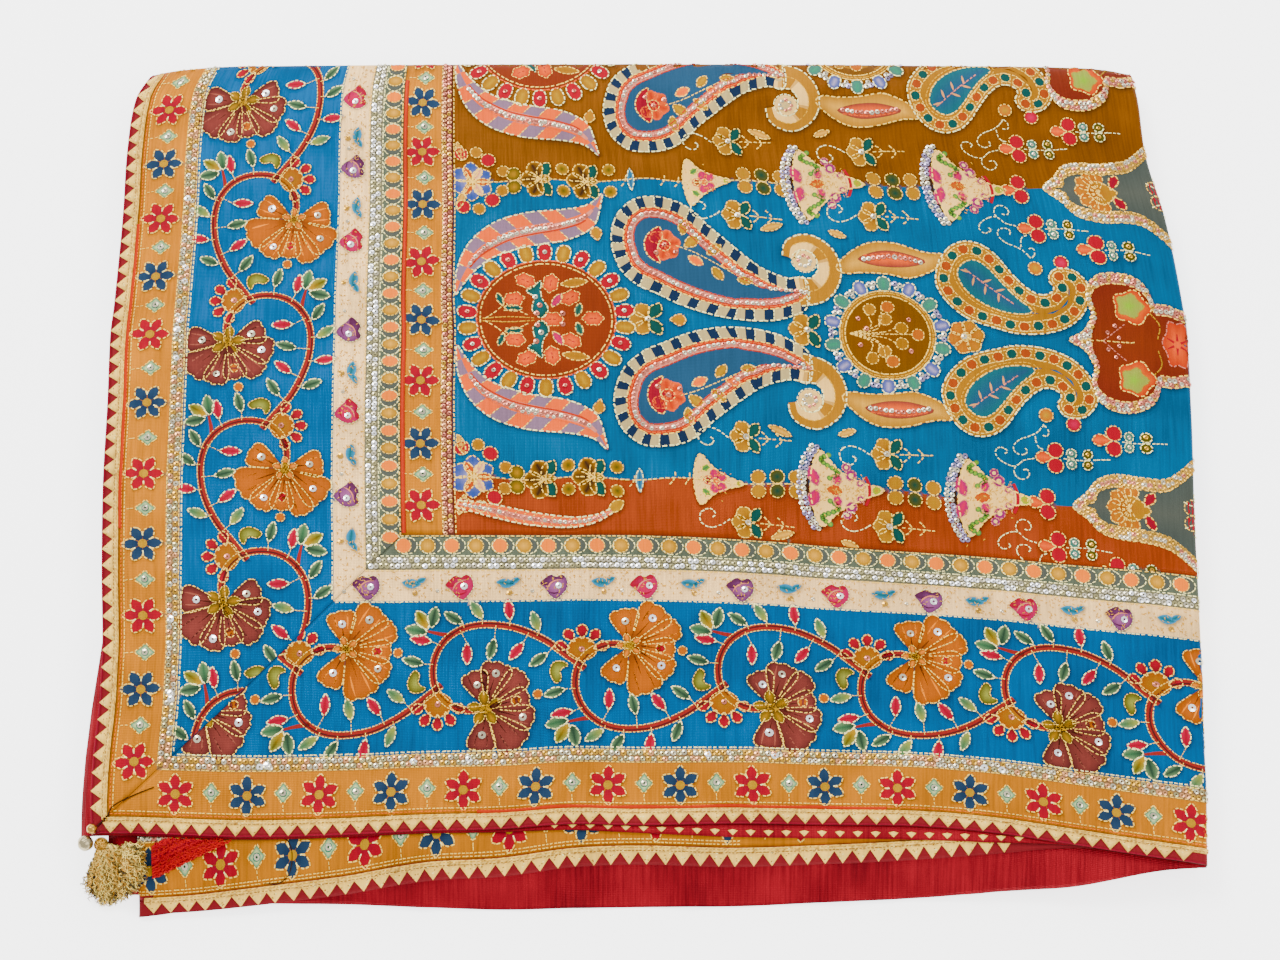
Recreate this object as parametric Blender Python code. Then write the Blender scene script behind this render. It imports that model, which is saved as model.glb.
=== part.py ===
# Folded saree: a printed and embroidered silk cloth with a mitred border, a toothed metallic
# lace along its edges and a tassel at its corner.
# It was folded once across its width and three more times along its length, so the pack has
# sixteen layers: eight pairs, stacked in a zigzag.
# X runs to the right along the side border, Y away from it, Z up from the table.
import math
from collections import namedtuple

import bmesh
import bpy
from mathutils import Vector

MM = 0.001

# Cloth
PITCH = 1.7 * MM              # one folded layer and the air above it
WALL = 1.2 * MM               # the cloth itself
GAP = 0.3 * MM                # left at every seam and between pieces that touch
HIDDEN_LAYERS = 12            # the six pairs below the two that show
LACE_WALL = 0.8 * MM

# Bands of the border, each measured from the cloth's cut edge
EDGING = 11 * MM              # red binding
BORDER = 197 * MM             # binding, flower band, vine band, bud band and dots
END_BORDER = 232 * MM         # the end adds a second flower band
LACE_TIP = 1.4 * MM           # where the teeth of the lace end
LACE_ROOT = 6.0 * MM          # where they start
LACE_BACK = 10.6 * MM         # inner side of the lace
TOOTH_PITCH = 11.5 * MM
THIRD_LACE_END = 530 * MM     # past this the third layer's edge goes in under the second's

# The pack in plan
PACK_LENGTH = 716 * MM        # left edge to right fold
PACK_DEPTH = 552 * MM         # front edge to back fold
PLAN_CENTRE = (6.1 * MM, 16.0 * MM)

# Fall of the pack towards its sides: how far in it starts, and how deep it gets
RAMP_START = -2 * MM          # in front of the top layer's front edge
RAMP_LENGTH = 47 * MM
Droop = namedtuple("Droop", "reach depth")
LEFT_DROOP = Droop(25 * MM, 4.0 * MM)
RIGHT_DROOP = Droop(30 * MM, 2.5 * MM)
BACK_DROOP = Droop(28 * MM, 5.0 * MM)
SWELL = 0.8 * MM              # soft unevenness of the top

# Tassel
BEAD_SMALL = 3.3 * MM         # radii
BEAD_LARGE = 5.0 * MM
KNOT = 4.5 * MM
GOLD_ROWS, GOLD_STRANDS = 3, 12
RED_ROWS, RED_STRANDS = 2, 9
STRAND_LIFT = 1.9 * MM        # the lowest threads above the lace they cross

# Lines of the pack at one distance along it from the left edge, in millimetres: the front
# edge of the top layer, the line where the side border ends and the back fold, then how far
# the second, third and fourth layers reach out in front of the top one
ACROSS = (
    dict(at=0, front=-238.0, border=-38.7, back=308.0, second=1.0, third=48.0, fourth=36.0),
    dict(at=50, front=-239.8, border=-38.7, back=313.0, second=1.0, third=44.5, fourth=37.0),
    dict(at=100, front=-241.3, border=-38.7, back=314.0, second=1.0, third=38.5, fourth=37.0),
    dict(at=160, front=-239.9, border=-38.7, back=314.5, second=1.0, third=33.0, fourth=39.0),
    dict(at=215, front=-237.2, border=-38.7, back=314.8, second=1.0, third=27.5, fourth=43.5),
    dict(at=265, front=-235.8, border=-38.7, back=315.0, second=1.5, third=26.0, fourth=46.5),
    dict(at=310, front=-232.5, border=-38.7, back=315.0, second=3.0, third=23.5, fourth=49.0),
    dict(at=354, front=-233.2, border=-38.7, back=315.0, second=4.0, third=21.5, fourth=47.5),
    dict(at=417, front=-232.2, border=-41.5, back=315.0, second=7.0, third=23.5, fourth=48.0),
    dict(at=475, front=-233.1, border=-46.5, back=314.8, second=7.0, third=21.3, fourth=44.5),
    dict(at=533, front=-234.0, border=-50.7, back=314.5, second=7.0, third=18.0, fourth=41.0),
    dict(at=584, front=-238.4, border=-54.5, back=314.0, second=5.0, third=11.0, fourth=33.0),
    dict(at=635, front=-246.2, border=-59.5, back=313.5, second=0.0, third=1.0, fourth=23.0),
    dict(at=686, front=-254.1, border=-64.0, back=312.0, second=-3.0, third=-5.0, fourth=7.5),
    dict(at=716, front=-258.0, border=-66.5, back=308.5, second=-4.0, third=-8.0, fourth=1.0),
)

# Lines of the pack at one distance back from the front edge, in millimetres: the left edge
# of the top layer, the line where the end border stops and the right fold, how far the second
# layer peeps out on the left, and how far in the fold of the third layer lies
ALONG = (
    dict(at=0, left=-346.5, border=-121.5, right=355.8, second=8.0, third=31.0),
    dict(at=20, left=-349.0, border=-121.6, right=357.0, second=6.5, third=28.0),
    dict(at=50, left=-349.5, border=-121.7, right=359.0, second=6.0, third=24.0),
    dict(at=85, left=-348.2, border=-121.8, right=360.0, second=5.5, third=18.0),
    dict(at=100, left=-348.6, border=-121.8, right=360.6, second=2.6, third=16.0),
    dict(at=125, left=-349.3, border=-121.9, right=362.0, second=0.0, third=14.0),
    dict(at=175, left=-353.7, border=-122.0, right=363.8, second=-1.0, third=12.0),
    dict(at=237, left=-357.5, border=-124.8, right=365.8, second=-1.0, third=10.0),
    dict(at=295, left=-358.8, border=-127.0, right=369.0, second=-1.0, third=10.0),
    dict(at=346, left=-360.6, border=-127.5, right=370.6, second=-1.0, third=10.0),
    dict(at=370, left=-359.6, border=-129.0, right=370.8, second=-1.0, third=10.0),
    dict(at=440, left=-358.5, border=-130.0, right=363.2, second=-1.0, third=10.0),
    dict(at=490, left=-359.0, border=-132.0, right=352.5, second=-1.0, third=10.0),
    dict(at=530, left=-356.0, border=-133.0, right=350.0, second=-1.0, third=10.0),
    dict(at=552, left=-347.0, border=-133.5, right=348.0, second=-1.0, third=10.0),
)

# Lines of the grids that all layers share, so that their facets lie parallel
LEFT_LINES = [11 * MM, 25 * MM]
CROSS_LINES = [value * MM for value in (60, 125, 197, 232, 275, 318, 361, 404, 447,
                                        490, 533, 568, 600, 630, 660, 690, 716)]
BACK_LINES = [value * MM for value in (11, 25, 60, 125, 197, 260, 330, 400, 460, 505, 530, 552)]
RAMP_LINES = [value * MM for value in (-46, -40, -34, -28, -22, -16, -10, -4, 3)]
ROW_STEP = 0.6 * MM           # least distance between two rows where an edge cuts them off


def ease(share):
    share = min(max(share, 0.0), 1.0)
    return share * share * (3.0 - 2.0 * share)


def mix(first, second, share):
    return first + (second - first) * share


def read_line(rows, column, where):
    """Smooth curve through one column of a table, in metres."""
    where = min(max(where / MM, rows[0]["at"]), rows[-1]["at"])
    index = 0
    while index < len(rows) - 2 and where > rows[index + 1]["at"]:
        index += 1
    before, start, end = rows[max(index - 1, 0)], rows[index], rows[index + 1]
    after = rows[min(index + 2, len(rows) - 1)]
    span = end["at"] - start["at"]
    share = (where - start["at"]) / span
    slope_start = (end[column] - before[column]) / (end["at"] - before["at"])
    slope_end = (after[column] - start[column]) / (after["at"] - start["at"])
    square, cube = share * share, share * share * share
    value = ((2 * cube - 3 * square + 1) * start[column]
             + (cube - 2 * square + share) * span * slope_start
             + (3 * square - 2 * cube) * end[column]
             + (cube - square) * span * slope_end)
    return value * MM


def plan(u, v):
    """Place in plan of the cloth u along from its left edge and v back from its front edge."""
    left = read_line(ALONG, "left", v)
    inner = read_line(ALONG, "border", v)
    front = read_line(ACROSS, "front", u)
    line = read_line(ACROSS, "border", u)
    if u <= 0.0:
        x = left + u
    elif u <= END_BORDER:
        x = mix(left, inner, u / END_BORDER)
    else:
        right = read_line(ALONG, "right", v)
        x = mix(inner, right, (u - END_BORDER) / (PACK_LENGTH - END_BORDER))
    if v <= 0.0:
        y = front + v
    elif v <= BORDER:
        y = mix(front, line, v / BORDER)
    else:
        back = read_line(ACROSS, "back", u)
        y = mix(line, back, (v - BORDER) / (PACK_DEPTH - BORDER))
    return x - PLAN_CENTRE[0], y - PLAN_CENTRE[1]


def droop(distance, fall):
    return fall.depth * max(0.0, 1.0 - distance / fall.reach) ** 2


def base_height(u, v):
    """Top of the hidden layers, which every layer above follows."""
    height = HIDDEN_LAYERS * PITCH
    height -= droop(u, LEFT_DROOP) + droop(PACK_LENGTH - u, RIGHT_DROOP)
    height -= droop(PACK_DEPTH - v, BACK_DROOP)
    height += SWELL * math.sin(11.0 * u + 0.8) * math.cos(9.0 * v - 0.6)
    return height * (1.0 - ease((RAMP_START - v) / RAMP_LENGTH))


def base_frame(u, v):
    """Point of the base surface, its normal and its two tangents."""
    step = 0.5 * MM
    x, y = plan(u, v)
    point = Vector((x, y, base_height(u, v)))
    ends = []
    for du, dv in ((step, 0.0), (0.0, step)):
        low = Vector((*plan(u - du, v - dv), base_height(u - du, v - dv)))
        high = Vector((*plan(u + du, v + dv), base_height(u + du, v + dv)))
        ends.append((high - low).normalized())
    normal = ends[0].cross(ends[1]).normalized()
    return point, normal, ends[0], ends[1]


# A layer lies so many pitches above the base. Its folds have a radius in pitches, above zero
# where the layer turns down and below zero where it turns up.
Layer = namedtuple("Layer", "level left_fold right_fold back_fold")
TOP = Layer(3.5, 0.0, 1.5, 0.5)
SECOND = Layer(2.5, 0.0, 0.0, -0.5)
THIRD = Layer(1.5, 1.5, 0.0, 0.5)
FOURTH = Layer(0.5, 0.0, -1.5, -0.5)

FOLD_STEPS = 3


def fold_angle(radius):
    """A fold stops just short of a quarter turn, where the next layer's fold meets it."""
    return math.pi / 2 - 0.9 * GAP / (abs(radius) * PITCH)


def fold_lines(radius, edge, outward):
    """Lines beyond an edge that carry a layer round its fold."""
    if radius == 0.0:
        return []
    arc = abs(radius) * PITCH * fold_angle(radius)
    return [edge + outward * arc * (index + 1) / FOLD_STEPS for index in range(FOLD_STEPS)]


def past_fold(distance, radius):
    """How far round its fold a point lies, from 0 to 1."""
    if radius == 0.0 or distance <= 0.0:
        return 0.0
    return distance / (abs(radius) * PITCH * fold_angle(radius))


def layer_frame(layer, u, v):
    """Middle of a layer's wall and its normal, with its folds."""
    left_edge = read_line(ALONG, "third", v) if layer.left_fold else u
    held_u = min(max(u, left_edge), PACK_LENGTH)
    held_v = min(v, PACK_DEPTH)
    if not layer.right_fold:
        held_u = max(u, left_edge)
    point, normal, along, back = base_frame(held_u, held_v)
    point = point + normal * layer.level * PITCH
    side_radius = layer.left_fold if u < held_u else layer.right_fold
    side = past_fold(abs(u - held_u), side_radius)
    rear = past_fold(v - held_v, layer.back_fold)
    turned = max(side, rear)
    if turned <= 0.0:
        return point, normal
    weight = side * side / (side * side + rear * rear)
    radius = mix(layer.back_fold, side_radius, weight)
    outward = along * (side if u > held_u else -side) + back * rear
    outward.normalize()
    angle = turned * fold_angle(radius)
    size, turn = abs(radius) * PITCH, math.copysign(1.0, radius)
    middle = point + outward * size * math.sin(angle)
    middle -= normal * turn * size * (1.0 - math.cos(angle))
    facing = normal * math.cos(angle) + outward * turn * math.sin(angle)
    return middle, facing.normalized()


def make_material(name, colour, roughness, metallic=0.0):
    material = bpy.data.materials.new(name)
    material.use_nodes = True
    shader = material.node_tree.nodes["Principled BSDF"]
    shader.inputs["Base Color"].default_value = (*colour, 1.0)
    shader.inputs["Roughness"].default_value = roughness
    shader.inputs["Metallic"].default_value = metallic
    return material


def add_object(name, mesh_data, material):
    """New object from a bmesh, its faces turned to point out."""
    bmesh.ops.recalc_face_normals(mesh_data, faces=mesh_data.faces)
    if mesh_data.calc_volume(signed=True) < 0.0:
        bmesh.ops.reverse_faces(mesh_data, faces=mesh_data.faces)
    mesh = bpy.data.meshes.new(name)
    mesh_data.to_mesh(mesh)
    mesh_data.free()
    piece = bpy.data.objects.new(name, mesh)
    bpy.context.collection.objects.link(piece)
    mesh.materials.append(material)
    return piece


def add_wall(mesh_data, low_rows, high_rows):
    """Closed wall between two grids of points with the same rows."""
    low = [[mesh_data.verts.new(point) for point in row] for row in low_rows]
    high = [[mesh_data.verts.new(point) for point in row] for row in high_rows]
    rows, columns = len(low), len(low[0])
    for row in range(rows - 1):
        for column in range(columns - 1):
            for side in (low, high):
                mesh_data.faces.new((side[row][column], side[row][column + 1],
                                     side[row + 1][column + 1], side[row + 1][column]))
    rim = [(0, column) for column in range(columns)]
    rim += [(row, columns - 1) for row in range(1, rows)]
    rim += [(rows - 1, column) for column in range(columns - 2, -1, -1)]
    rim += [(row, 0) for row in range(rows - 2, 0, -1)]
    for (row, column), (next_row, next_column) in zip(rim, rim[1:] + rim[:1]):
        mesh_data.faces.new((low[row][column], low[next_row][next_column],
                             high[next_row][next_column], high[row][column]))


def make_sheet(name, layer, rows, material, low=-WALL / 2, high=WALL / 2):
    """Solid sheet on a layer: each row is a list of (u, v) places."""
    low_rows, high_rows = [], []
    for row in rows:
        frames = [layer_frame(layer, u, v) for u, v in row]
        low_rows.append([middle + normal * low for middle, normal in frames])
        high_rows.append([middle + normal * high for middle, normal in frames])
    mesh_data = bmesh.new()
    add_wall(mesh_data, low_rows, high_rows)
    return add_object(name, mesh_data, material)


def between(lines, low, high, clear=4 * MM):
    """The shared lines that lie well between two places, with the places themselves."""
    return [low] + [line for line in lines if low + clear < line < high - clear] + [high]


def past_mitre(start, lines):
    """A strip's lines from the mitre on, squeezed together where the mitre cuts them off."""
    return [start] + [max(line, start + ROW_STEP * (index + 1))
                      for index, line in enumerate(lines)]


def end_strip(first, last):
    """Rows of a strip along the left end that is cut off at the mitre."""
    lines = [line for line in RAMP_LINES[-1:] + BACK_LINES if line > first]
    lines += fold_lines(TOP.back_fold, PACK_DEPTH, 1)
    columns = [(u, past_mitre(u + GAP, lines))
               for u in between(LEFT_LINES + CROSS_LINES, first, last)]
    return [[(u, places[row]) for u, places in columns] for row in range(len(lines) + 1)]


def side_strip(first, last):
    """Rows of a strip along the front that is cut off at the mitre."""
    lines = [line for line in LEFT_LINES + CROSS_LINES if line > first + GAP]
    lines += fold_lines(TOP.right_fold, PACK_LENGTH, 1)
    return [[(u, v) for u in past_mitre(v + GAP, lines)]
            for v in between(RAMP_LINES[-1:] + BACK_LINES, first, last, clear=2 * MM)]


def panel(first_u, first_v):
    """Rows of a panel that runs on over the right and back folds."""
    columns = between(CROSS_LINES, first_u, PACK_LENGTH)
    columns += fold_lines(TOP.right_fold, PACK_LENGTH, 1)
    back = between(BACK_LINES, first_v, PACK_DEPTH)
    back += fold_lines(TOP.back_fold, PACK_DEPTH, 1)
    return [[(u, v) for u in columns] for v in back]


def front_rows(front_edge, columns_at, tail=()):
    """Rows from a front edge that wanders, over the ramp and back to the fold."""
    rows = [[(u, front_edge(u)) for u in columns_at(0.0)]]
    lowest = min(v for _, v in rows[0])
    lines = [line for line in RAMP_LINES if line > lowest + ROW_STEP] + BACK_LINES
    for index, line in enumerate(lines):
        squeezed = ROW_STEP * (index + 1)
        rows.append([(u, max(line, front_edge(u) + squeezed)) for u in columns_at(line)])
    return rows + [[(u, v) for u in columns_at(PACK_DEPTH)] for v in tail]


def edge_rows(front_edge, columns, depth, count=3):
    """Rows of a strip of even depth along a front edge that wanders."""
    return [[(u, front_edge(u) + depth * index / count) for u in columns]
            for index in range(count + 1)]


def make_top_layer(silk, binding):
    seam = GAP / 2
    make_sheet("top_end_border", TOP, end_strip(EDGING + seam, BORDER - seam), silk["blue"])
    make_sheet("top_side_border", TOP, side_strip(EDGING + seam, BORDER - seam), silk["blue"])
    tail = fold_lines(TOP.back_fold, PACK_DEPTH, 1)
    inner = [[(u, v) for u in (BORDER + seam, END_BORDER - seam)]
             for v in between(BACK_LINES, BORDER + seam, PACK_DEPTH) + tail]
    make_sheet("top_inner_border", TOP, inner, silk["ochre"])
    make_sheet("top_field", TOP, panel(END_BORDER + seam, BORDER + seam), silk["field"])
    make_sheet("top_end_edging", TOP, end_strip(0.0, EDGING - seam), binding)
    make_sheet("top_side_edging", TOP, side_strip(0.0, EDGING - seam), binding)


def make_second_layer(facing):
    def left_edge(v):
        return -read_line(ALONG, "second", v)

    def columns_at(v):
        return [left_edge(v)] + LEFT_LINES + CROSS_LINES

    def front_edge(u):
        return -read_line(ACROSS, "second", u)

    tail = fold_lines(SECOND.back_fold, PACK_DEPTH, 1)
    make_sheet("second_layer", SECOND, front_rows(front_edge, columns_at, tail), facing)


def third_columns(v):
    fold = read_line(ALONG, "third", v)
    turned = fold_lines(THIRD.left_fold, fold, -1)[::-1]
    return turned + [fold, fold + 8 * MM] + CROSS_LINES


def third_front(u):
    return -read_line(ACROSS, "third", u)


def make_third_layer(silk, binding):
    tail = fold_lines(THIRD.back_fold, PACK_DEPTH, 1)
    rows = front_rows(lambda u: third_front(u) + EDGING + GAP / 2, third_columns, tail)
    make_sheet("third_layer", THIRD, rows, silk["ochre"])
    edging = edge_rows(third_front, third_columns(0.0), EDGING - GAP / 2)
    make_sheet("third_edging", THIRD, edging, binding)


def fourth_front(u):
    return -read_line(ACROSS, "fourth", u)


def fourth_columns(v):
    fold = read_line(ALONG, "third", v)
    turned = fold_lines(FOURTH.right_fold, PACK_LENGTH, 1)
    return [fold + 1 * MM, fold + 8 * MM] + CROSS_LINES + turned


def make_fourth_layer(facing):
    tail = fold_lines(FOURTH.back_fold, PACK_DEPTH, 1)
    make_sheet("fourth_layer", FOURTH, front_rows(fourth_front, fourth_columns, tail), facing)


def make_lace(name, layer, place, length, material, lift=GAP):
    """Flat metallic lace: a strip with pointed teeth that face the cut edge.

    place(run, depth) gives the (u, v) of a point so far along the edge and in from it.
    """
    low, high = WALL / 2 + lift, WALL / 2 + lift + LACE_WALL
    count = int(length / TOOTH_PITCH)
    mesh_data = bmesh.new()

    def pair(run, depth):
        middle, normal = layer_frame(layer, *place(run, depth))
        return (mesh_data.verts.new(middle + normal * low),
                mesh_data.verts.new(middle + normal * high))

    back = [pair(index * TOOTH_PITCH, LACE_BACK) for index in range(count + 1)]
    root = [pair(index * TOOTH_PITCH, LACE_ROOT) for index in range(count + 1)]
    tips = [pair((index + 0.5) * TOOTH_PITCH, LACE_TIP) for index in range(count)]
    for index in range(count):
        strip = (back[index], back[index + 1], root[index + 1], root[index])
        tooth = (root[index], root[index + 1], tips[index])
        for shape in (strip, tooth):
            for side in (0, 1):
                mesh_data.faces.new([corner[side] for corner in shape])
        for start, end in ((back[index], back[index + 1]), (root[index], tips[index]),
                           (tips[index], root[index + 1])):
            mesh_data.faces.new((start[0], end[0], end[1], start[1]))
    for index in (0, count):
        mesh_data.faces.new((back[index][0], root[index][0], root[index][1], back[index][1]))
    return add_object(name, mesh_data, material)


def make_laces(material):
    corner = LACE_BACK + GAP
    make_lace("top_end_lace", TOP, lambda run, depth: (depth, corner + run),
              PACK_DEPTH - corner, material)
    make_lace("top_side_lace", TOP, lambda run, depth: (run + 1 * MM, depth),
              PACK_LENGTH - 1 * MM, material)
    start = read_line(ALONG, "third", 0.0)

    def on_third(run, depth):
        u = start + run
        return u, third_front(u) + depth

    make_lace("third_lace", THIRD, on_third, THIRD_LACE_END - start, material, lift=2 * GAP)


# Folds seen on each side of the hidden layers, as (lowest level, highest level) of each
# bulge in layers from the table. The top left one goes on into the third layer's fold.
LEFT_TOP_INSET = 1.2 * MM
RIGHT_BULGES = ((0, 4), (4, 8), (8, 12))
LEFT_BULGES = ((2, 6), (6, 10), (10, 14))
BACK_BULGES = ((0, 2), (2, 4), (4, 6), (6, 8), (8, 10), (10, 12))
FRONT_STEPS = (5.5, 8.0, 6.0, 7.5, 4.5, 6.0, 3.5, 4.5, 2.5, 3.2, 1.2, 1.6, 0.0)


def bulge(level, bulges):
    """How far a fold stands out at a level, as a half round."""
    for low, high in bulges:
        if low <= level <= high:
            half = (high - low) / 2
            share = (level - low - half) / half
            return half * PITCH * math.sqrt(max(0.0, 1.0 - share * share))
    return 0.0


def make_hidden_layers(material):
    """The twelve layers under the ones that show, as one solid with folded sides."""
    lowest_front = 3.0 * MM

    def front_edge(u):
        edge = fourth_front(u) + 2 * MM
        while base_height(u, edge) < lowest_front:
            edge += 0.5 * MM
        return edge

    def columns_at(v):
        fold = read_line(ALONG, "third", v)
        return [fold - LEFT_TOP_INSET, fold + 8 * MM] + CROSS_LINES

    places = front_rows(front_edge, columns_at)
    rows, columns = len(places), len(places[0])
    mesh_data = bmesh.new()
    top = []
    for row in places:
        points = [base_frame(u, v)[0] - Vector((0, 0, 0.1 * MM)) for u, v in row]
        top.append([mesh_data.verts.new(point) for point in points])
    for row in range(rows - 1):
        for column in range(columns - 1):
            mesh_data.faces.new((top[row][column], top[row][column + 1],
                                 top[row + 1][column + 1], top[row + 1][column]))
    rim = [(0, column) for column in range(columns)]
    rim += [(row, columns - 1) for row in range(1, rows)]
    rim += [(rows - 1, column) for column in range(columns - 2, -1, -1)]
    rim += [(row, 0) for row in range(rows - 2, 0, -1)]

    def side_offset(row, column, level):
        share = top[row][column].co.z / (HIDDEN_LAYERS * PITCH)
        x = y = 0.0
        if column == 0:
            x = LEFT_TOP_INSET - bulge(level, LEFT_BULGES)
        if column == columns - 1:
            x = bulge(level, RIGHT_BULGES) - bulge(12, RIGHT_BULGES)
        if row == rows - 1:
            y = bulge(level, BACK_BULGES) - bulge(12, BACK_BULGES)
        if row == 0:
            y = FRONT_STEPS[level] * MM
        return x * share, y * share

    ring = [top[row][column] for row, column in rim]
    for level in range(HIDDEN_LAYERS - 1, -1, -1):
        below = []
        for row, column in rim:
            point = top[row][column].co
            x, y = side_offset(row, column, level)
            below.append(mesh_data.verts.new((point.x + x, point.y + y,
                                              point.z * level / HIDDEN_LAYERS)))
        for index in range(len(rim)):
            after = (index + 1) % len(rim)
            mesh_data.faces.new((ring[index], ring[after], below[after], below[index]))
        ring = below
    mesh_data.faces.new(ring)
    return add_object("hidden_layers", mesh_data, material)


def make_ball(name, centre, radius, material):
    mesh_data = bmesh.new()
    bmesh.ops.create_uvsphere(mesh_data, u_segments=12, v_segments=8, radius=radius)
    bmesh.ops.translate(mesh_data, verts=mesh_data.verts, vec=centre)
    piece = add_object(name, mesh_data, material)
    piece.data.shade_smooth()
    return piece


def add_strand(mesh_data, points, widths, thickness):
    """One three-sided strand: flat side down, ridge on top."""
    rings = []
    for index, point in enumerate(points):
        ahead = points[min(index + 1, len(points) - 1)]
        behind = points[max(index - 1, 0)]
        run = (ahead - behind).normalized()
        across = run.cross(Vector((0, 0, 1))).normalized() * widths[index] / 2
        lift = Vector((0, 0, thickness))
        rings.append([mesh_data.verts.new(point + corner)
                      for corner in (across, lift, -across)])
    for lower, upper in zip(rings, rings[1:]):
        for side in range(3):
            after = (side + 1) % 3
            mesh_data.faces.new((lower[side], lower[after], upper[after], upper[side]))
    mesh_data.faces.new(rings[0])
    mesh_data.faces.new(rings[-1][::-1])


def fuse(piece, root):
    """Boolean union of the strands with the knot or strip that holds them."""
    union = piece.modifiers.new("fuse", "BOOLEAN")
    union.operation = "UNION"
    union.solver = "EXACT"
    union.object = root
    root.hide_render = True
    root.display_type = "WIRE"


def third_surface(x, y):
    """Height of the middle of the third layer at a place in plan."""
    u, v = 40 * MM, -20 * MM
    for _ in range(6):
        middle, _ = layer_frame(THIRD, u, v)
        u += x - middle.x
        v += y - middle.y
        u = max(u, read_line(ALONG, "third", v))
    return middle.z


def support_height(x, y, lift=WALL / 2 + LACE_WALL + STRAND_LIFT):
    """Lowest height for tassel threads: on the third layer, else just above the table."""
    fold = read_line(ALONG, "third", 0.0)
    edge_x = plan(fold, 0.0)[0] - 2.5 * PITCH
    free = 1.0 * MM
    over_third = third_surface(max(x, edge_x), y) + lift
    return mix(free, over_third, ease((x - edge_x + 12 * MM) / (9 * MM)))


def make_gold_tassel(knot_centre, material):
    mesh_data = bmesh.new()
    steps = 4
    for row in range(GOLD_ROWS):
        for index in range(GOLD_STRANDS):
            share = (index + 0.5 * (row % 2)) / (GOLD_STRANDS - 0.5)
            angle = math.radians(mix(-9.0, -112.0, share))
            length = min(38 * MM, 31 * MM / max(math.cos(angle), 0.1))
            length -= 9 * MM * ease((share - 0.75) / 0.25) + 1.5 * MM * row
            points, widths = [], []
            for step in range(steps + 1):
                reach = mix(3.0 * MM, length, step / steps)
                x = knot_centre.x + reach * math.cos(angle)
                y = knot_centre.y + reach * math.sin(angle)
                fall = ease(reach / (38 * MM))
                height = mix(knot_centre.z - 1.2 * MM, 1.0 * MM, fall)
                height = max(height, support_height(x, y)) + row * 1.7 * MM
                points.append(Vector((x, y, height)))
                widths.append(min(2.2 * MM, 0.11 * reach))
            add_strand(mesh_data, points, widths, 1.2 * MM)
    tassel = add_object("gold_tassel", mesh_data, material)
    knot = make_ball("gold_knot_cutter", knot_centre, KNOT, material)
    fuse(tassel, knot)
    return tassel


def make_red_tassel(start_x, material):
    """Red silk threads that run from under the gold ones to the top layer's edge."""
    slope = 0.443
    bed = WALL / 2 + 3 * GAP
    front = read_line(ACROSS, "front", 45 * MM) - PLAN_CENTRE[1]
    limit_y = front - 4.2 * MM
    steps = 4
    mesh_data = bmesh.new()
    for row in range(RED_ROWS):
        for index in range(RED_STRANDS):
            y = mix(limit_y - 5 * MM, limit_y - 23 * MM, (index + 0.25 * row) / RED_STRANDS)
            length = (limit_y - y) / slope
            points, widths = [], []
            for step in range(steps + 1):
                reach = length * step / steps
                place_x, place_y = start_x + reach, y + reach * slope
                height = support_height(place_x, place_y, bed) + row * 1.4 * MM
                points.append(Vector((place_x, place_y, height)))
                widths.append(mix(1.6 * MM, 0.9 * MM, step / steps))
            add_strand(mesh_data, points, widths, 1.0 * MM)
    tassel = add_object("red_tassel", mesh_data, material)
    strip = bmesh.new()
    low_row, high_row = [], []
    for side in (-1.2 * MM, 1.2 * MM):
        low_line, high_line = [], []
        for index in range(7):
            y = mix(limit_y - 3.5 * MM, limit_y - 24 * MM, index / 6)
            height = support_height(start_x + side, y, bed)
            low_line.append(Vector((start_x + side, y, height)))
            high_line.append(Vector((start_x + side, y, height + 3.0 * MM)))
        low_row.append(low_line)
        high_row.append(high_line)
    add_wall(strip, low_row, high_row)
    root = add_object("red_root_cutter", strip, material)
    fuse(tassel, root)
    return tassel


def make_tassels(gold_thread, red_thread, gold_metal, silver_metal):
    corner, normal = layer_frame(TOP, 2.5 * MM, 2.5 * MM)
    small = corner + normal * (WALL / 2 + LACE_WALL + 2 * GAP + BEAD_SMALL)
    make_ball("small_bead", small, BEAD_SMALL, gold_metal)
    edge, _ = layer_frame(SECOND, 1 * MM, -read_line(ACROSS, "second", 0.0))
    knot = Vector((edge.x + 4.0 * MM, edge.y - KNOT - 2 * GAP, edge.z - 1.0 * MM))
    large = knot + Vector((-0.93, 0.0, 0.36)).normalized() * (KNOT + BEAD_LARGE + GAP)
    make_ball("large_bead", large, BEAD_LARGE, silver_metal)
    make_gold_tassel(knot, gold_thread)
    make_red_tassel(knot.x + 36 * MM, red_thread)


def main():
    for piece in list(bpy.data.objects):
        bpy.data.objects.remove(piece, do_unlink=True)
    silk = {
        "blue": make_material("printed silk, blue", (0.003, 0.17, 0.46), 0.42),
        "ochre": make_material("printed silk, ochre", (0.74, 0.29, 0.010), 0.5),
        "field": make_material("printed silk, field", (0.010, 0.22, 0.45), 0.45),
    }
    binding = make_material("red silk binding", (0.43, 0.024, 0.035), 0.5)
    facing = make_material("red silk facing", (0.55, 0.018, 0.042), 0.4)
    lace = make_material("cream and gold lace", (0.87, 0.74, 0.40), 0.45, 0.3)
    gold_thread = make_material("gold metal thread", (0.48, 0.32, 0.07), 0.35, 0.8)
    red_thread = make_material("red silk thread", (0.74, 0.018, 0.028), 0.5)
    gold_metal = make_material("gold plated bead", (0.62, 0.42, 0.12), 0.25, 1.0)
    silver_metal = make_material("silver plated bead", (0.60, 0.57, 0.50), 0.2, 1.0)
    make_top_layer(silk, binding)
    make_second_layer(facing)
    make_third_layer(silk, binding)
    make_fourth_layer(facing)
    make_laces(lace)
    make_hidden_layers(facing)
    make_tassels(gold_thread, red_thread, gold_metal, silver_metal)


main()
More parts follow.
